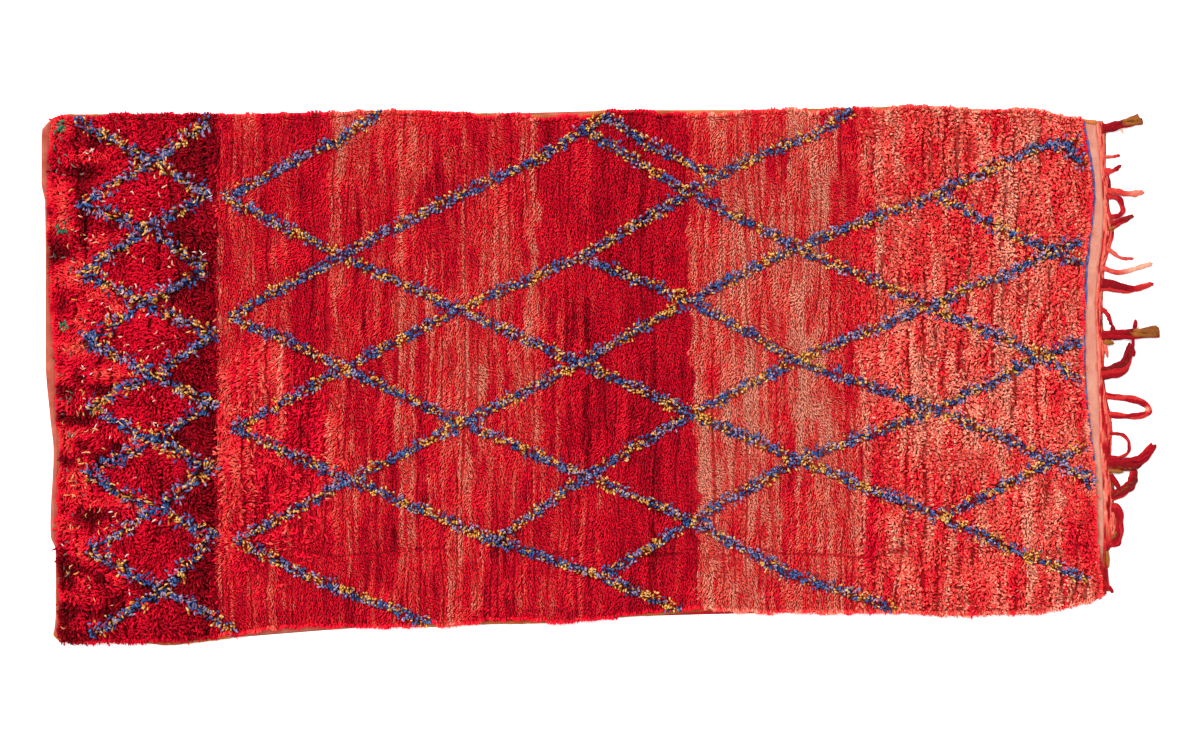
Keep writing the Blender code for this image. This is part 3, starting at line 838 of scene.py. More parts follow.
def lock_faces(count, rings):
    """Faces of many locks, each closed by a triangle at its root, and the UV places of their
    corners: every lock has a small square of the map to itself, with its sides upright."""
    size = rings * 3 + 1
    ring, side = np.meshgrid(np.arange(rings - 1), np.arange(3), indexing="ij")
    here, after = (ring * 3 + side).ravel(), (ring * 3 + (side + 1) % 3).ravel()
    walls = np.stack((here, after, after + 3, here + 3), axis=1)
    top = (rings - 1) * 3
    tips = np.array([(top + k, top + (k + 1) % 3, size - 1) for k in range(3)])
    foot = np.array([(2, 1, 0)])
    high = 0.15 + 0.85 * np.arange(rings) / rings
    s, low, up = side.ravel() / 3, high[ring.ravel()], high[ring.ravel() + 1]
    wall_places = np.stack((s, low, s + 1 / 3, low, s + 1 / 3, up, s, up), axis=1).reshape(-1, 2)
    tip_places = [
        ((k / 3, high[-1]), ((k + 1) / 3, high[-1]), ((k + 0.5) / 3, 1.0)) for k in range(3)
    ]
    foot_places = [(0.1, 0.0), (0.9, 0.0), (0.5, 0.1)]
    triangles = np.concatenate((tips, foot))
    triangle_places = np.concatenate((np.reshape(tip_places, (-1, 2)), foot_places))
    first = np.arange(count)[:, None, None] * size
    faces = [(walls[None] + first).reshape(-1, 4), (triangles[None] + first).reshape(-1, 3)]
    across = int(np.ceil(np.sqrt(count)))
    cell = np.stack((np.arange(count) % across, np.arange(count) // across), axis=1)[:, None, :]
    places = [
        ((cell + 0.1 + 0.8 * own[None]) / across).reshape(-1, 2)
        for own in (wall_places, triangle_places)
    ]
    return faces, np.concatenate(places)


def make_locks(name, wool, slot, rings, faded, lit=1.0, **shape):
    """One piece of many locks, with the fade of each lock at its points, and the height along it
    times how well the lock is lit."""
    points = lock_shapes(rings=rings, **shape)
    count, size = points.shape[:2]
    faces, places = lock_faces(count, rings)
    height = np.append(np.repeat(np.linspace(0, LAST_RING, rings), 3), 1.0)
    lit = np.broadcast_to(lit, count)[:, None]
    marks = {"faded": np.repeat(faded, size), "height": (height[None, :] * lit).ravel()}
    return new_piece(name, points.reshape(-1, 3), faces, wool, slot, places, marks)


def knots(spacing, start, end, seed):
    """Where tufts are knotted: rows across the cloth, with each knot a little off its place."""
    rng = np.random.default_rng(seed)
    xs, ys = np.arange(start, end, spacing), np.arange(-KNOTS_REACH, KNOTS_REACH, spacing)
    x, y = (grid.ravel() for grid in np.meshgrid(xs, ys, indexing="ij"))
    x = x + rng.uniform(-KNOT_SHIFT, KNOT_SHIFT, x.shape) * spacing
    y = y + rng.uniform(-KNOT_SHIFT, KNOT_SHIFT, y.shape) * spacing
    inside = room_at(x, y).min(axis=0) > ROOT_INSET
    return x[inside], y[inside]


def headed(x, y, angle, outward):
    """Unit headings at those angles, turned away from a parting, and outward by so much as a place
    comes near the rim."""
    room = room_at(x, y)
    away = np.array(((-1, 0), (1, 0), (0, -1), (0, 1)))
    heading = np.stack((np.cos(angle), np.sin(angle)), axis=1)
    side = np.sign(row_lie(x + 0.001, y) - row_lie(x - 0.001, y)) * np.sign(row_lie(x, y))
    heading[:, 0] += PARTING_PUSH * side * parting(x, y)
    heading += outward * (fade(room, 0.030, 0.010).T @ away)
    return heading / np.maximum(np.linalg.norm(heading, axis=1, keepdims=True), 1e-6)


# How a kind of tuft looks: how far apart and how wide it is, how far its tip leans out and is bent
# aside, how unevenly it stands, and how far it turns from its neighbours within a patch that lies
# one way
Tuft = namedtuple("Tuft", "spacing width reach curl uneven turn patch rings")
FIELD_TUFT = Tuft(0.0053, 0.0092, 0.0130, 0.0, 0.0008, 0.5, 0.070, 1)
LONG_TUFT = Tuft(0.0062, 0.0132, 0.0165, 0.0, 0.0008, 0.6, 0.060, 1)
CURLED_TUFT = Tuft(0.0094, 0.0080, 0.0140, 0.006, 0.0010, 0.9, 0.045, 2)
SWEPT_TUFT = Tuft(0.0094, 0.0072, 0.0200, 0.005, 0.0012, 0.6, 0.060, 2)


def lit_at(x, y, panel_shade):
    """How well tufts are lit: less where they are ragged, and less by a share in the end panel."""
    return (1 - 0.40 * raggedness(x, y)) * (1 - panel_shade * (x < END_PANEL_EDGE))


def make_tufts(name, tuft, start, end, seed):
    """The tufts of one stretch of the pile, but for those that the lattice takes the place of and
    most of those in a parting. Their way is a slow noise, which turns most in ragged pile."""
    rng = np.random.default_rng(seed)
    x, y = knots(tuft.spacing, start, end, seed)
    left = from_lattice(x, y) > LATTICE_HALF_WIDTH * rng.uniform(0.6, 1.0, x.shape)
    left &= rng.random(len(x)) > 0.9 * fade(parting(x, y), 0.5, 1.0)
    if tuft in (CURLED_TUFT, SWEPT_TUFT):
        left &= rng.random(len(x)) < raggedness(x, y)
    x, y = x[left], y[left]
    count = len(x)
    lie = drift(x, y, tuft.patch, tuft.patch, seed % 10) - 0.5
    angle = -np.pi / 2 + by_raggedness(WIDE_TURN, x, y) * lie
    angle += tuft.turn * rng.uniform(-1, 1, count)
    root = np.stack((x, y, bed_height(x, y) - ROOT_DEPTH), axis=1)
    rise = surface(x, y) + tuft.uneven * rng.normal(0, 0.6, count) - root[:, 2]
    return make_locks(
        name, tuft_wool, "pile", tuft.rings,
        # Painted shade in partings and crevices: a sunk tuft's fade is pushed towards maroon and it
        # is marked as less lit
        faded=dye_at(x, y) - 0.20 * sunk(x, y) + rng.normal(0, 0.07, count),
        lit=(1 - 0.80 * sunk(x, y)) * lit_at(x, y, 0.35),
        root=root,
        heading=headed(x, y, angle, 0.9),
        reach=tuft.reach * rng.uniform(0.5, 1.25, count),
        rise=np.maximum(rise, 0.003),
        width=tuft.width * rng.uniform(0.8, 1.2, count),
        curl=tuft.curl * rng.uniform(-1, 1, count),
        turn=rng.uniform(0, 2, count),
    )


# The lattice
# Two or three rows of knots in blue, mustard and lavender wool follow slanting lines through the
# red. Their tufts are left longer than the pile round them and fall every way.

LATTICE_HALF_WIDTH = 0.0152
LATTICE_CELL = 0.004
LATTICE_CELLS_ROUND = 10
LATTICE_MAP = ((-1.64, 1.48), (-0.80, 0.80))
LATTICE_OVER_PILE = 0.0018
LATTICE_REACH = 0.0112
LATTICE_CURL = 0.0045
LATTICE_UNEVEN = 0.0020

# The dyes of the clumps: how large a clump is along and across the rug, which stretch of the row of
# tones is blue, lavender and mustard, and up to what share of the clumps is blue, and then lavender
DYE_CLUMP = (0.0160, 0.0120)
LATTICE_DYES = ((0.04, 0.34), (0.42, 0.61), (0.70, 0.97))
BLUE_UP_TO = 0.42
LAVENDER_UP_TO = 0.64

# The tufts that lie low and dark: their share of all, how deep they lie, and their two dyes,
# near-black navy and dark brown, which are partly the wool's own dark tones and partly painted
# shade in the gaps between the lattice's tufts
LOW_SHARE = 0.10
LOW_DEPTH = 0.0040
LOW_SHADE_DYES = (0.01, 0.66)

# The lattice's lines, each as its places along the rug and across it
LATTICE_PLACES = (
    ((-0.050, -0.001, 0.034, 0.173, 0.336), (0.715, 0.747, 0.744, 0.654, 0.579)),
    ((-0.050, 0.260, 0.568, 0.954, 1.278, 1.380), (0.715, 0.532, 0.373, 0.202, 0.057, -0.001)),
    ((-0.059, 0.260, 0.568, 0.977, 1.319, 1.426), (0.344, 0.219, 0.045, -0.097, -0.245, -0.309)),
    (
        (-1.085, -0.752, -0.409, -0.059, 0.266, 0.574, 0.988, 1.397),
        (0.515, 0.349, 0.193, 0.039, -0.109, -0.245, -0.410, -0.587),
    ),
    (
        (-1.071, -0.743, -0.398, -0.041, 0.266, 0.542, 0.846),
        (0.173, 0.022, -0.138, -0.291, -0.422, -0.573, -0.671),
    ),
    ((-1.059, -0.726, -0.308, 0.005, 0.231), (-0.152, -0.303, -0.477, -0.581, -0.682)),
    ((-1.053, -0.871, -0.494), (-0.477, -0.570, -0.720)),
    ((0.971, 1.096, 1.220, 1.307, 1.397), (0.526, 0.460, 0.396, 0.361, 0.326)),
    ((1.345, 1.403), (0.663, 0.613)),
    ((-1.085, -0.871, -0.752, -0.639), (0.515, 0.631, 0.686, 0.767)),
    (
        (-1.071, -0.752, -0.575, -0.380, -0.172, -0.050),
        (0.173, 0.349, 0.442, 0.538, 0.631, 0.715),
    ),
    (
        (-1.059, -0.743, -0.409, -0.059, 0.130, 0.260, 0.336, 0.490, 0.620, 0.722),
        (-0.152, 0.022, 0.193, 0.344, 0.454, 0.532, 0.579, 0.651, 0.697, 0.768),
    ),
    (
        (-1.053, -0.726, -0.398, -0.059, 0.260, 0.568, 0.811, 0.971, 1.125, 1.284, 1.374),
        (-0.477, -0.303, -0.138, 0.039, 0.219, 0.373, 0.465, 0.526, 0.596, 0.668, 0.680),
    ),
    (
        (-0.308, -0.041, 0.266, 0.568, 0.954, 1.072, 1.165, 1.307, 1.380),
        (-0.477, -0.291, -0.109, 0.045, 0.202, 0.260, 0.286, 0.361, 0.390),
    ),
    ((0.005, 0.266, 0.574, 0.977, 1.278, 1.403), (-0.581, -0.422, -0.245, -0.097, 0.057, 0.100)),
    ((0.988, 1.319, 1.403), (-0.410, -0.245, -0.207)),
)


def lattice_lines():
    """Every line as points one cell apart: the field's, then the end panel's two zigzags."""
    lines = [np.array(places).T for places in LATTICE_PLACES]
    for k, crossing in enumerate(CROSSINGS):
        lines.append(np.array((OUTER_TIPS[k], crossing, INNER_TIPS[k + 1])))
        lines.append(np.array((INNER_TIPS[k], crossing, OUTER_TIPS[k + 1])))
    made = []
    for line in lines:
        along = np.concatenate(([0], np.cumsum(np.hypot(*np.diff(line, axis=0).T))))
        at = np.arange(0, along[-1], LATTICE_CELL)
        made.append(np.stack([np.interp(at, along, line[:, k]) for k in (0, 1)], axis=1))
    return made


def cell_of(places, values):
    """The number of the cell, among those at these places, that is nearest to each value."""
    return np.clip(np.round((values - places[0]) / LATTICE_CELL).astype(int), 0, len(places) - 1)


def distance_map():
    """How far each cell of a grid lies from the nearest line, worked out over the square of cells
    round each point of each line. Cells further off are given a whole metre."""
    xs, ys = (np.arange(low, high, LATTICE_CELL) for low, high in LATTICE_MAP)
    nearest = np.full((len(xs), len(ys)), 1.0)
    offsets = range(-LATTICE_CELLS_ROUND, LATTICE_CELLS_ROUND + 1)
    for line in lattice_lines():
        i, j = cell_of(xs, line[:, 0]), cell_of(ys, line[:, 1])
        for di, dj in product(offsets, offsets):
            a, b = np.clip(i + di, 0, len(xs) - 1), np.clip(j + dj, 0, len(ys) - 1)
            np.minimum.at(nearest, (a, b), np.hypot(xs[a] - line[:, 0], ys[b] - line[:, 1]))
    return xs, ys, nearest


line_xs, line_ys, line_distance = distance_map()


def from_lattice(x, y):
    """How far a place is from the lattice's nearest line, by its cell."""
    return line_distance[cell_of(line_xs, x), cell_of(line_ys, y)]


def lattice_wool():
    """Navy, blue, lavender, brown and mustard wool in a row of tones, by the dye of each lock. Its
    first stop is near-black, as painted shade, and a ramp by height paints shade towards each lock's
    foot.
    """
    wool = Wool("lattice_wool")
    stops = (
        (0.00, (0.012, 0.012, 0.030)),
        (0.10, (0.016, 0.042, 0.150)),
        (0.25, (0.036, 0.095, 0.270)),
        (0.36, (0.085, 0.150, 0.320)),
        (0.46, (0.130, 0.100, 0.190)),
        (0.58, (0.310, 0.250, 0.410)),
        (0.66, (0.110, 0.035, 0.018)),
        (0.74, (0.380, 0.140, 0.020)),
        (0.88, (0.640, 0.310, 0.060)),
        (1.00, (0.720, 0.440, 0.165)),
    )
    colour = wool.ramp(wool.mark("faded"), *stops)
    # Painted shade, by the height held at the points: dark at a lock's foot and where it is marked
    # as less lit
    shade = wool.ramp(wool.mark("height"), (0.0, (0.50,) * 3), (0.6, (1.0,) * 3))
    return wool.finish(wool.mix(1.0, colour, shade, "MULTIPLY"), wool.flecks(500.0, 500.0), 0.001)


def make_lattice(name, spacing, start, end, seed):
    """The lattice's tufts over one stretch. Clumps of knots a centimetre or so wide share a dye and
    fall one way, and one tuft in ten is low and dark, its dark dye partly painted shade in the gaps."""
    rng = np.random.default_rng(seed)
    x, y = knots(spacing, start, end, seed)
    ragged = LATTICE_HALF_WIDTH * (0.65 + 0.6 * drift(x, y, 0.022, 0.022, 41))
    on = from_lattice(x, y) < ragged
    x, y = x[on], y[on]
    count = len(x)
    clump_x = np.floor((x + 0.003 * rng.normal(0, 1, count)) / DYE_CLUMP[0]).astype(int)
    clump_y = np.floor((y + 0.003 * rng.normal(0, 1, count)) / DYE_CLUMP[1]).astype(int)
    chances = np.random.default_rng(seed + 5).random((2, 1024, 1024))
    own, lie = chances[:, clump_x % 1024, clump_y % 1024]
    tone = rng.random(count)
    blue, lavender, mustard = (first + (last - first) * tone for first, last in LATTICE_DYES)
    ends = np.maximum(fade(x, -1.08, -1.15), fade(x, 0.8, 1.0) * 0.5)
    dye = np.where(own < LAVENDER_UP_TO + 0.03 * ends, lavender, mustard)
    dye = np.where(own < BLUE_UP_TO, blue, dye)
    low = rng.random(count) < LOW_SHARE
    # Painted shade in the lattice's gaps, in part: low tufts take near-black navy or dark brown
    dye = np.where(low, rng.choice(LOW_SHADE_DYES, count), dye)
    angle = 2 * np.pi * lie + rng.uniform(-0.7, 0.7, count)
    root = np.stack((x, y, bed_height(x, y) - ROOT_DEPTH), axis=1)
    rise = surface(x, y) + LATTICE_OVER_PILE - LOW_DEPTH * low - root[:, 2]
    rise += LATTICE_UNEVEN * rng.normal(0, 0.6, count)
    return make_locks(
        name, knotted_wool, "pile", 2,
        faded=dye,
        root=root,
        heading=headed(x, y, angle, 1.2),
        reach=(LATTICE_REACH + 0.0070 * ends) * rng.uniform(0.4, 1.4, count),
        rise=np.maximum(rise, 0.006),
        width=spacing * rng.uniform(0.90, 1.40, count),
        lit=1 - 0.45 * (x < END_PANEL_EDGE) * rng.random(count),
        curl=LATTICE_CURL * rng.uniform(-1, 1, count),
        turn=rng.uniform(0, 2, count),
    )


def rim_places(inset):
    """Places all round the pile, so far inside its rim, with the way out from each."""
    along = np.arange(-1.60, 1.44, RIM_SPACING)
    across = np.arange(-0.76, 0.76, RIM_SPACING)
    sides = (
        (reach_of(PILE_START, across) + inset, across, -1, 0),
        (reach_of(PILE_END, across) - inset, across, 1, 0),
        (along, reach_of(NEAR_EDGE, along) + stood_back(along, NEAR_BARE) + inset, 0, -1),
        (along, reach_of(FAR_EDGE, along) - stood_back(along, FAR_BARE) - inset, 0, 1),
    )
    rows = np.concatenate([np.stack(np.broadcast_arrays(*side), axis=1) for side in sides])
    return rows[room_at(rows[:, 0], rows[:, 1]).min(axis=0) > inset * 0.8]


def make_rim_tufts():
    """Three rows of tufts that lean out over the rim, with their tips on a bumpy outline."""
    rng = np.random.default_rng(171)
    rows = np.concatenate([rim_places(inset) for inset in RIM_INSETS])
    rows = rows[np.abs(from_lattice(rows[:, 0], rows[:, 1])) > LATTICE_HALF_WIDTH * 0.8]
    count = len(rows)
    x, y = (rows[:, k] + rng.uniform(-0.002, 0.002, count) for k in (0, 1))
    angle = np.arctan2(rows[:, 3], rows[:, 2]) + rng.uniform(-0.7, 0.7, count)
    room = room_at(x, y).min(axis=0)
    root = np.stack((x, y, bed_height(x, y) - RIM_ROOT_DEPTH), axis=1)
    bumps = RIM_BUMPS[0] + (RIM_BUMPS[1] - RIM_BUMPS[0]) * drift(x, y, 0.020, 0.020, 40)
    return make_locks(
        "tufts_rim", tuft_wool, "pile", 2,
        faded=dye_at(x, y) - 0.05 + rng.normal(0, 0.10, count),
        lit=lit_at(x, y, 0.45),
        root=root,
        heading=np.stack((np.cos(angle), np.sin(angle)), axis=1),
        reach=np.maximum(room + bumps, 0.003),
        rise=0.0065 + 0.35 * room + rng.uniform(-0.0015, 0.0015, count),
        width=RIM_WIDTH * rng.uniform(0.8, 1.2, count),
        curl=RIM_CURL * rng.uniform(-1, 1, count),
        turn=rng.uniform(0, 2, count),
    )


tuft_wool = dyed_wool()
knotted_wool = lattice_wool()
pile_pieces = [
    make_pile_bed(),
    make_tufts("tufts_end_panel", LONG_TUFT, -1.62, END_PANEL_EDGE, 101),
    make_tufts("tufts_field_1", FIELD_TUFT, END_PANEL_EDGE + 0.003, -0.49, 111),
    make_tufts("tufts_field_2", FIELD_TUFT, -0.49, 0.13, 121),
    make_tufts("tufts_field_3", FIELD_TUFT, 0.13, 0.75, 131),
    make_tufts("tufts_shaggy", LONG_TUFT, 0.75, 1.50, 141),
    make_rim_tufts(),
    make_tufts("curls_end_panel", SWEPT_TUFT, -1.62, -0.68, 152),
    make_tufts("curls_shaggy", CURLED_TUFT, 0.70, 1.50, 162),
    make_lattice("lattice_end_panel", 0.0070, -1.62, END_PANEL_EDGE, 201),
    make_lattice("lattice_field", 0.0064, END_PANEL_EDGE, 0.35, 211),
    make_lattice("lattice_shaggy", 0.0065, 0.35, 1.50, 221),
]


# The fringe
# Past the band the warp ends are bound into a ridge of red wool. Most are cut off short there, and
# the rest are left as loose twisted strands, thick gathered locks and a few loops.

RIDGE_EDGE = Edge(
    at=(-0.622, -0.523, -0.477, -0.430, -0.332, -0.262, -0.144, -0.059, 0.007, 0.103, 0.161,
        0.312, 0.378, 0.419, 0.509, 0.561, 0.605, 0.700, 0.741),
    reach=(1.4813, 1.4740, 1.4940, 1.4920, 1.4929, 1.4842, 1.4871, 1.4726, 1.4640, 1.4668,
           1.4596, 1.4668, 1.4842, 1.4950, 1.4784, 1.4842, 1.4697, 1.4697, 1.4600),
)
RIDGE_ENDS = (-0.626, 0.740)
RIDGE_KNOT = 0.014
STRAND_START = 0.008
LOOP_START = 0.006
RIDGE_SHARES = (0.10, 0.30, 0.50, 0.70, 0.88)

# Each strand as in the solid fringe, then how many yarns it is gathered from, and how faded they
# are at the root and at the tip, where -0.5 is brown
Strand = namedtuple(
    "Strand",
    "root width mid_out mid_up mid_width tip_out tip_up tip_width height yarns faded tip_faded",
)
STRANDS = (
    Strand(0.718, 0.034, 0.048, 0.012, 0.026, 0.108, 0.030, 0.036, 0.012, 6, 0.12, -0.15),
    Strand(0.636, 0.012, 0.018, 0.000, 0.010, 0.039, 0.004, 0.010, 0.006, 2, 0.55, 0.35),
    Strand(0.590, 0.024, 0.016, 0.005, 0.014, 0.038, 0.020, 0.010, 0.006, 2, 0.40, 0.05),
    Strand(0.538, 0.018, 0.047, -0.009, 0.018, 0.094, -0.006, 0.015, 0.008, 2, 0.45, 0.75),
    Strand(0.436, 0.028, 0.024, 0.014, 0.022, 0.055, 0.028, 0.014, 0.008, 4, 0.15, -0.02),
    Strand(0.367, 0.014, 0.030, -0.024, 0.011, 0.067, -0.027, 0.009, 0.006, 2, 0.55, 0.45),
    Strand(0.312, 0.016, 0.045, -0.012, 0.015, 0.133, 0.013, 0.014, 0.007, 2, 0.50, 0.95),
    Strand(0.265, 0.044, 0.077, -0.014, 0.024, 0.142, 0.002, 0.015, 0.009, 5, 0.10, 0.45),
    Strand(0.193, 0.014, 0.014, -0.014, 0.013, 0.026, -0.042, 0.011, 0.006, 2, 0.25, 0.10),
    Strand(0.117, 0.030, 0.073, 0.003, 0.030, 0.159, 0.012, 0.036, 0.014, 6, 0.04, -0.20),
    Strand(0.007, 0.044, 0.054, 0.018, 0.042, 0.080, 0.084, 0.020, 0.012, 7, 0.00, 0.02),
    Strand(-0.260, 0.046, 0.075, 0.008, 0.036, 0.127, 0.060, 0.026, 0.012, 7, 0.00, 0.05),
    Strand(-0.349, 0.030, 0.046, 0.028, 0.032, 0.060, 0.072, 0.026, 0.010, 6, 0.00, 0.02),
    Strand(-0.614, 0.014, 0.004, -0.007, 0.012, 0.009, -0.015, 0.009, 0.006, 2, 0.10, 0.10),
)
Loop = namedtuple("Loop", "root back reach sag width height faded")
LOOPS = (
    Loop(0.519, 0.463, 0.036, 0.000, 0.016, 0.008, 0.30),
    Loop(-0.057, -0.111, 0.119, 0.013, 0.022, 0.009, 0.18),
    Loop(-0.167, -0.236, 0.054, 0.004, 0.012, 0.006, 0.10),
    Loop(-0.380, -0.492, 0.024, 0.000, 0.018, 0.010, 0.20),
    Loop(-0.392, -0.486, 0.014, 0.000, 0.018, 0.011, 0.02),
    Loop(-0.408, -0.470, 0.006, 0.000, 0.012, 0.010, -0.45),
    Loop(-0.400, -0.462, 0.000, 0.000, 0.010, 0.011, 0.65),
)
# Knobs of yarn on the long strand, a yarn that ties the hooked one to it, short brown ends at the
# feet of the thick ones, and a pale wisp that hangs from the corner one
Wisp = namedtuple("Wisp", "x y out up width faded")
WISPS = (
    Wisp(1.489, 0.128, 0.000, 0.018, 0.016, 0.00),
    Wisp(1.552, 0.134, 0.004, 0.026, 0.015, 0.02),
    Wisp(1.508, 0.728, 0.012, -0.024, 0.007, 1.10),
    Wisp(1.549, 0.112, -0.002, -0.042, 0.011, 0.05),
    Wisp(1.547, 0.078, 0.004, -0.020, 0.015, 0.00),
    Wisp(1.464, 0.098, 0.026, -0.004, 0.018, -0.50),
    Wisp(1.466, 0.094, 0.008, -0.040, 0.012, 0.62),
    Wisp(1.478, 0.424, 0.020, 0.010, 0.010, -0.48),
    Wisp(1.478, -0.276, 0.040, -0.004, 0.014, -0.50),
    Wisp(1.484, -0.288, 0.024, -0.040, 0.018, 0.05),
    Wisp(1.474, -0.510, 0.002, -0.046, 0.012, -0.48),
    Wisp(1.472, -0.550, -0.002, -0.044, 0.010, 0.02),
)


# One yarn: its flat path, and along it its width, height, lift off the floor and fade
Yarn = namedtuple("Yarn", "path width height lift faded blunt")
YARN_LOWEST = 0.0001
YARN_LIFT = 0.0002
WISP_LIFT = 0.0035


def strand_path(row, steps=36):
    """From the ridge through a strand's middle to its tip, on two cubic curves."""
    start = np.array((reach_of(RIDGE_EDGE, row.root) - STRAND_START, row.root))
    middle = start + (row.mid_out + STRAND_START, row.mid_up)
    tip = start + (row.tip_out + STRAND_START, row.tip_up)
    leave = np.array((row.mid_out, 0.0))
    through = (tip - start) / 2
    arrive = (tip - middle) * 1.1
    t = np.linspace(0, 1, steps)[:, None]
    early = t <= 0.5
    s = np.where(early, t * 2, t * 2 - 1)
    a, b = np.where(early, start, middle), np.where(early, middle, tip)
    from_way, to_way = np.where(early, leave, through), np.where(early, through, arrive)
    return cubic(s, a, from_way, b, to_way)


def loop_path(row, steps=60):
    """Out from the ridge, round a narrow arch and back to it, sagging by a half sine."""
    start, end = (reach_of(RIDGE_EDGE, place) - LOOP_START for place in (row.root, row.back))
    t = np.linspace(0, 1, steps)
    half_sine = np.sin(np.pi * np.clip(t, 1e-6, 1 - 1e-6))
    x = start + t * (end - start) + (row.reach + LOOP_START) * half_sine**0.85
    x += 0.5 * row.width * (waver(t, 0.16, 54, row.root) - 0.5) * half_sine
    y = row.root + fade(t, 0.10, 0.90) * (row.back - row.root) - row.sag * half_sine**0.5
    return np.stack((x, y), axis=1)


def gathered(path, wide, tall, yarns, turns, rng):
    """Yarns wound round one another along a path. Each goes round the middle of an ellipse of that
    width and height by its own angle, and is about as thick as its share of the ellipse. The first
    ones lie on the far side."""
    side = beside(path)
    t = np.linspace(0, 1, len(path))
    share = 1.25 / np.sqrt(yarns)
    made = []
    for k in range(yarns):
        angle = 2 * np.pi * ((k + 0.5) / yarns - 0.25 + turns * t + 0.07 * np.sin(7 * t + k))
        thick = wide * share * rng.uniform(0.7, 1.15) * (0.8 + 0.45 * waver(t, 0.11, 53, k))
        across = (wide - thick) / 2 * np.cos(angle)
        high = np.minimum(tall * share * 1.2, thick * 0.8)
        up = (tall - high) * (0.5 + 0.5 * np.sin(angle))
        last = len(path) - int(rng.integers(0, 3)) if yarns > 2 else len(path)
        yarn = path + side * across[:, None]
        made.append((yarn[:last], thick[:last], high[:last], up[:last] + YARN_LIFT))
    return made


def fringe_wool():
    """Red and coral warp wool, brown where its fade is far under 0, with a fine rough grain."""
    wool = Wool("fringe_wool")
    fine = wool.flecks(140.0, 140.0, 5.0)
    faded = wool.mark("faded") + (fine - 0.5) * 0.5
    stops = (
        (0.00, (0.060, 0.018, 0.006)),
        (0.20, (0.230, 0.070, 0.012)),
        (0.34, (0.085, 0.002, 0.004)),
        (0.48, (0.220, 0.002, 0.006)),
        (0.64, (0.370, 0.018, 0.016)),
        (0.80, (0.460, 0.100, 0.066)),
        (1.00, (0.540, 0.290, 0.190)),
    )
    return wool.finish(wool.ramp((faded + 0.8) * 0.5263, *stops), fine, 0.0015)


def yarn_piece(name, wool, yarns):
    """One piece of many yarns, none of them lower than just over the floor."""
    parts, faded, sides = [], [], 8
    for yarn in yarns:
        lifts = np.broadcast_to(yarn.lift, len(yarn.path))[:, None]
        pitch = float(np.mean(yarn.width)) * 5
        parts.append(rope(yarn.path, yarn.width, yarn.height, lifts, pitch, yarn.blunt, sides))
        faded += [np.repeat(yarn.faded, sides), yarn.faded[[0, -1]]]
    points, faces = joined(parts)
    points[:, 2] = np.maximum(points[:, 2], YARN_LOWEST)
    return new_piece(name, points, faces, wool, "fringe", marks={"faded": np.concatenate(faded)})


def make_strands(wool):
    """All loose strands, loops and wisps. A thick lock is gathered from yarns of several reds."""
    rng = np.random.default_rng(55)
    yarns = []
    for row in STRANDS:
        path = strand_path(row)
        t = np.linspace(0, 1, len(path))
        wide = np.interp(t, (0, 0.5, 1), (row.width, row.mid_width, row.tip_width))
        wide *= 0.90 + 0.25 * waver(t, 0.12, 51, row.root / 0.01)
        tall = np.interp(t, (0, 0.25, 0.9, 1), (0.006, row.height, row.height, row.height * 0.6))
        turns = 1.5 if row.yarns == 2 else 0.2
        wound = gathered(path, wide, tall, row.yarns, turns, rng)
        for k, (yarn, thick, high, up) in enumerate(wound):
            own = rng.choice((-0.19, -0.15, -0.05, 0.05, 0.22)) * (row.yarns > 2)
            browned = -0.4 if k < row.yarns / 2 else 0.25
            tip = row.tip_faded + (browned if row.tip_faded < -0.1 else own)
            turn = fade(np.linspace(0, 1, len(yarn)), 0.40, 0.75)
            along = row.faded + own + (tip - row.faded - own) * turn
            yarns.append(Yarn(yarn, thick, high, up, along, row.tip_width > 0.03))
    for row in LOOPS:
        path = loop_path(row)
        t = np.linspace(0, 1, len(path))
        wide = row.width * (0.85 + 0.3 * waver(t, 0.08, 52, row.root / 0.01))
        tall = 0.005 + (row.height - 0.005) * np.sin(np.pi * t) ** 0.5
        for yarn, thick, high, up in gathered(path, wide, tall, 2, 2.0, rng):
            bright = 0.55 * np.exp(-(((t - 0.5) / 0.08) ** 2)) * (row.reach > 0.1)
            along = row.faded + bright + rng.normal(0, 0.1)
            yarns.append(Yarn(yarn, thick, high, up, along, False))
    for row in WISPS:
        t = np.linspace(0, 1, 9)
        path = np.array((row.x, row.y)) + t[:, None] * (row.out, row.up)
        wide = row.width * (0.6 + 0.4 * np.sin(np.pi * np.clip(t, 0.1, 1)))
        yarns.append(Yarn(path, wide, wide * 0.6, WISP_LIFT, np.full(9, row.faded), False))
    return yarn_piece("fringe_strands", wool, yarns)


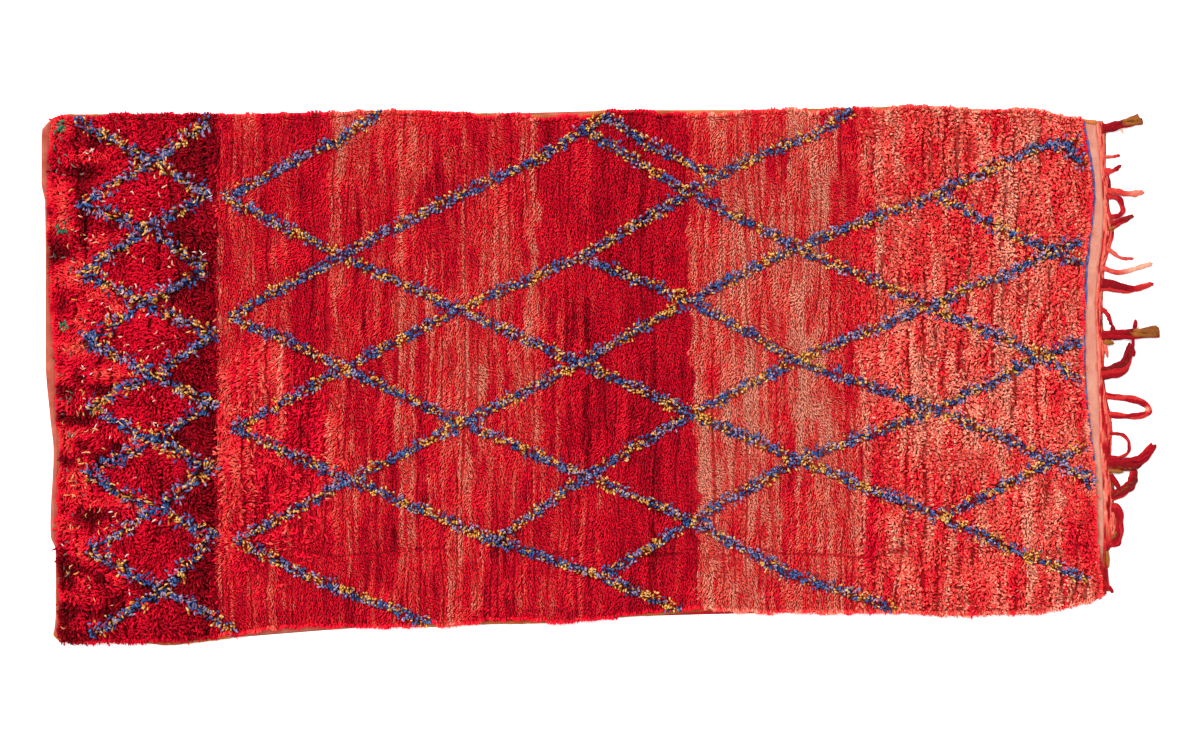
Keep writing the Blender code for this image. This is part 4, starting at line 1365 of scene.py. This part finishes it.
def make_ridge(wool):
    """The bound ends: yarns side by side along the band, and over them short ends that lie almost
    the same way. They are coral, with stretches of red, and brown at the outer side."""
    rng = np.random.default_rng(62)
    y = np.linspace(*RIDGE_ENDS, 200)[::-1]
    inner, outer = reach_of(BAND_EDGE, y) - 0.0015, reach_of(RIDGE_EDGE, y)
    strip = outer - inner
    near = fade(y, -0.44, -0.52)
    yarns = []
    for k, share in enumerate(RIDGE_SHARES):
        shift = 0.14 * (waver(y, 0.03, 63, k) - 0.5)
        x = inner + strip * np.clip(share + shift, 0.12, 0.90)
        wide = strip * 0.30 * (0.8 + 0.4 * waver(y, 0.02, 64, k)) + 0.001
        red = fade(waver(y, 0.045, 65, k), 0.60, 0.78)
        brown = fade(waver(y, 0.05, 66, k), 0.55, 0.70) * (share > 0.8)
        along = 0.76 - 0.30 * share + 0.2 * (waver(y, 0.02, 67, k) - 0.5)
        along -= 0.55 * red + 1.1 * brown
        along = along - (0.55 + 0.5 * (share > 0.8)) * near
        high = np.full_like(y, 0.0034 + 0.0014 * np.sin(np.pi * share))
        yarns.append(Yarn(np.stack((x, y), axis=1), wide, high, YARN_LIFT, along, False))
    for place in np.arange(RIDGE_ENDS[0] + 0.010, RIDGE_ENDS[1] - 0.030, RIDGE_KNOT):
        t = np.linspace(0, 1, 9)
        down = place + rng.uniform(0.020, 0.055) * (1 - t)
        low, high = reach_of(BAND_EDGE, down), reach_of(RIDGE_EDGE, down)
        share = rng.uniform(0.15, 0.90) + rng.uniform(-0.22, 0.22) * (t - 0.5)
        across = low + 0.002 + np.clip(share, 0.1, 0.92) * (high - low - 0.003)
        thick = rng.uniform(0.0028, 0.0050) * (0.5 + 0.5 * np.sin(np.pi * t))
        own = rng.choice((0.72, 0.66, 0.55, 0.32, 0.10, -0.04)) - 0.4 * (place < -0.47)
        lift = rng.uniform(0.0020, 0.0034)
        path = np.stack((across, down), axis=1)
        yarns.append(Yarn(path, thick, thick * 0.8, lift, np.full(9, own), False))
    ridge = yarn_piece("fringe_ridge", wool, yarns)
    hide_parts("fringe")
    return ridge


warp_wool = fringe_wool()
fringe_pieces = [make_strands(warp_wool), make_ridge(warp_wool)]


# Odd yarns
# The weaver used up short ends among the hem's tufts: green, white, grey and rust ones, and a few
# pale threads that have worked loose in the pile.

# Where short ends lie together: the middle, how many there are, how far they scatter, and their
# place in the row of dyes
Odd = namedtuple("Odd", "x y count spread dye")
ODDS = (
    Odd(-1.567, 0.722, 12, 0.007, 0.05),
    Odd(-1.561, 0.428, 12, 0.008, 0.10),
    Odd(-1.554, 0.146, 9, 0.007, 0.05),
    Odd(-1.540, -0.170, 6, 0.007, 0.10),
    Odd(-1.565, -0.506, 5, 0.008, 0.95),
    Odd(-1.482, 0.643, 4, 0.010, 0.90),
    Odd(-1.136, 0.530, 3, 0.006, 0.98),
    Odd(-1.160, 0.345, 3, 0.006, 0.98),
    Odd(-1.490, 0.010, 3, 0.006, 0.98),
    Odd(-1.560, 0.640, 14, 0.040, 0.35),
    Odd(-1.555, 0.330, 12, 0.050, 0.35),
    Odd(-1.560, -0.060, 10, 0.050, 0.35),
    Odd(-1.555, -0.480, 10, 0.060, 0.35),
    Odd(-1.540, 0.200, 22, 0.260, 0.62),
    Odd(-1.520, -0.400, 20, 0.200, 0.62),
    Odd(-1.420, -0.450, 12, 0.160, 0.66),
    Odd(-1.300, 0.100, 16, 0.320, 0.80),
    Odd(-1.400, 0.000, 14, 0.400, 0.98),
    Odd(-1.490, 0.300, 24, 0.260, 0.80),
    Odd(-1.490, -0.350, 24, 0.180, 0.66),
    Odd(-1.500, 0.100, 16, 0.400, 0.35),
    Odd(-1.390, 0.350, 16, 0.220, 0.80),
    Odd(-1.250, 0.100, 16, 0.350, 0.80),
    Odd(-1.340, -0.450, 12, 0.140, 0.92),
)


def odd_wool():
    """Green, grey, rust, pale red and white wool in a row of tones, by the dye of each end."""
    wool = Wool("odd_wool")
    stops = (
        (0.05, (0.015, 0.130, 0.070)),
        (0.20, (0.030, 0.100, 0.075)),
        (0.35, (0.100, 0.080, 0.070)),
        (0.62, (0.550, 0.230, 0.060)),
        (0.80, (0.700, 0.330, 0.220)),
        (0.98, (0.600, 0.520, 0.500)),
    )
    return wool.finish(wool.ramp(wool.mark("faded"), *stops))


def make_odd_yarns():
    """Thin locks scattered round each place, a little above the tufts that hold them."""
    rng = np.random.default_rng(71)
    x = np.concatenate([o.x + rng.normal(0, min(o.spread, 0.03), o.count) for o in ODDS])
    y = np.concatenate([o.y + rng.normal(0, o.spread, o.count) for o in ODDS])
    dye = np.concatenate([np.full(o.count, o.dye) for o in ODDS])
    inside = room_at(x, y).min(axis=0) > 0.012
    x, y, dye = x[inside], y[inside], dye[inside]
    count = len(x)
    root = np.stack((x, y, pile_top(x, y) - 0.009), axis=1)
    return make_locks(
        "odd_yarns", odd_wool(), "pile", 4,
        faded=dye + rng.uniform(-0.04, 0.04, count),
        root=root,
        heading=headed(x, y, rng.uniform(-np.pi, np.pi, count), 0.5),
        reach=rng.uniform(0.010, 0.022, count),
        rise=rng.uniform(0.009, 0.0115, count),
        width=rng.uniform(0.0035, 0.0055, count) * (1 + 0.7 * (dye < 0.2)),
        curl=rng.uniform(-0.008, 0.008, count),
        turn=rng.uniform(0, 2, count),
    )


odd_yarns = make_odd_yarns()


# The floor, the light and the camera
# A white studio floor under one large soft lamp from the upper left and an even pale sky. The
# camera looks straight down from nearly seven metres, as the photograph does.

CAMERA_PLACE = (-0.0006, 0.0015, 6.787)
CAMERA_LENS = 70.0
SKY_POWER = 1.46
FLOOR_SIZE = 90.0
FLOOR_COLOUR = (0.86, 0.86, 0.86)
FLOOR_ROUGHNESS = 0.7


def make_floor():
    """A plain square under the rug."""
    half = FLOOR_SIZE / 2
    mesh = bpy.data.meshes.new("floor")
    corners = [(-half, -half, 0), (half, -half, 0), (half, half, 0), (-half, half, 0)]
    mesh.from_pydata(corners, [], [(0, 1, 2, 3)])
    paint = bpy.data.materials.new("floor_paint")
    paint.use_nodes = True
    shader = paint.node_tree.nodes["Principled BSDF"]
    shader.inputs["Base Color"].default_value = (*FLOOR_COLOUR, 1.0)
    shader.inputs["Roughness"].default_value = FLOOR_ROUGHNESS
    mesh.materials.append(paint)
    floor = bpy.data.objects.new("floor", mesh)
    bpy.context.scene.collection.objects.link(floor)


def add_lamp(name, place, softness, power):
    """A far lamp, as soft as the angle it fills, that lights the whole floor from that side."""
    light = bpy.data.lights.new(name, "SUN")
    light.angle = softness
    light.energy = power
    lamp = bpy.data.objects.new(name, light)
    lamp.location = place
    lamp.rotation_euler = (-Vector(place)).to_track_quat("-Z", "Y").to_euler()
    bpy.context.scene.collection.objects.link(lamp)


make_floor()
add_lamp("key_lamp", place=(-2.6, 2.4, 3.2), softness=0.35, power=3.7)
sky = bpy.data.worlds.new("studio_sky")
sky.use_nodes = True
background = sky.node_tree.nodes["Background"]
background.inputs["Color"].default_value = (1.0, 1.0, 1.0, 1.0)
background.inputs["Strength"].default_value = SKY_POWER
bpy.context.scene.world = sky
bpy.context.scene.view_settings.view_transform = "Standard"

camera = bpy.data.objects.new("camera", bpy.data.cameras.new("camera"))
camera.data.lens = CAMERA_LENS
camera.location = CAMERA_PLACE
bpy.context.scene.collection.objects.link(camera)
bpy.context.scene.camera = camera
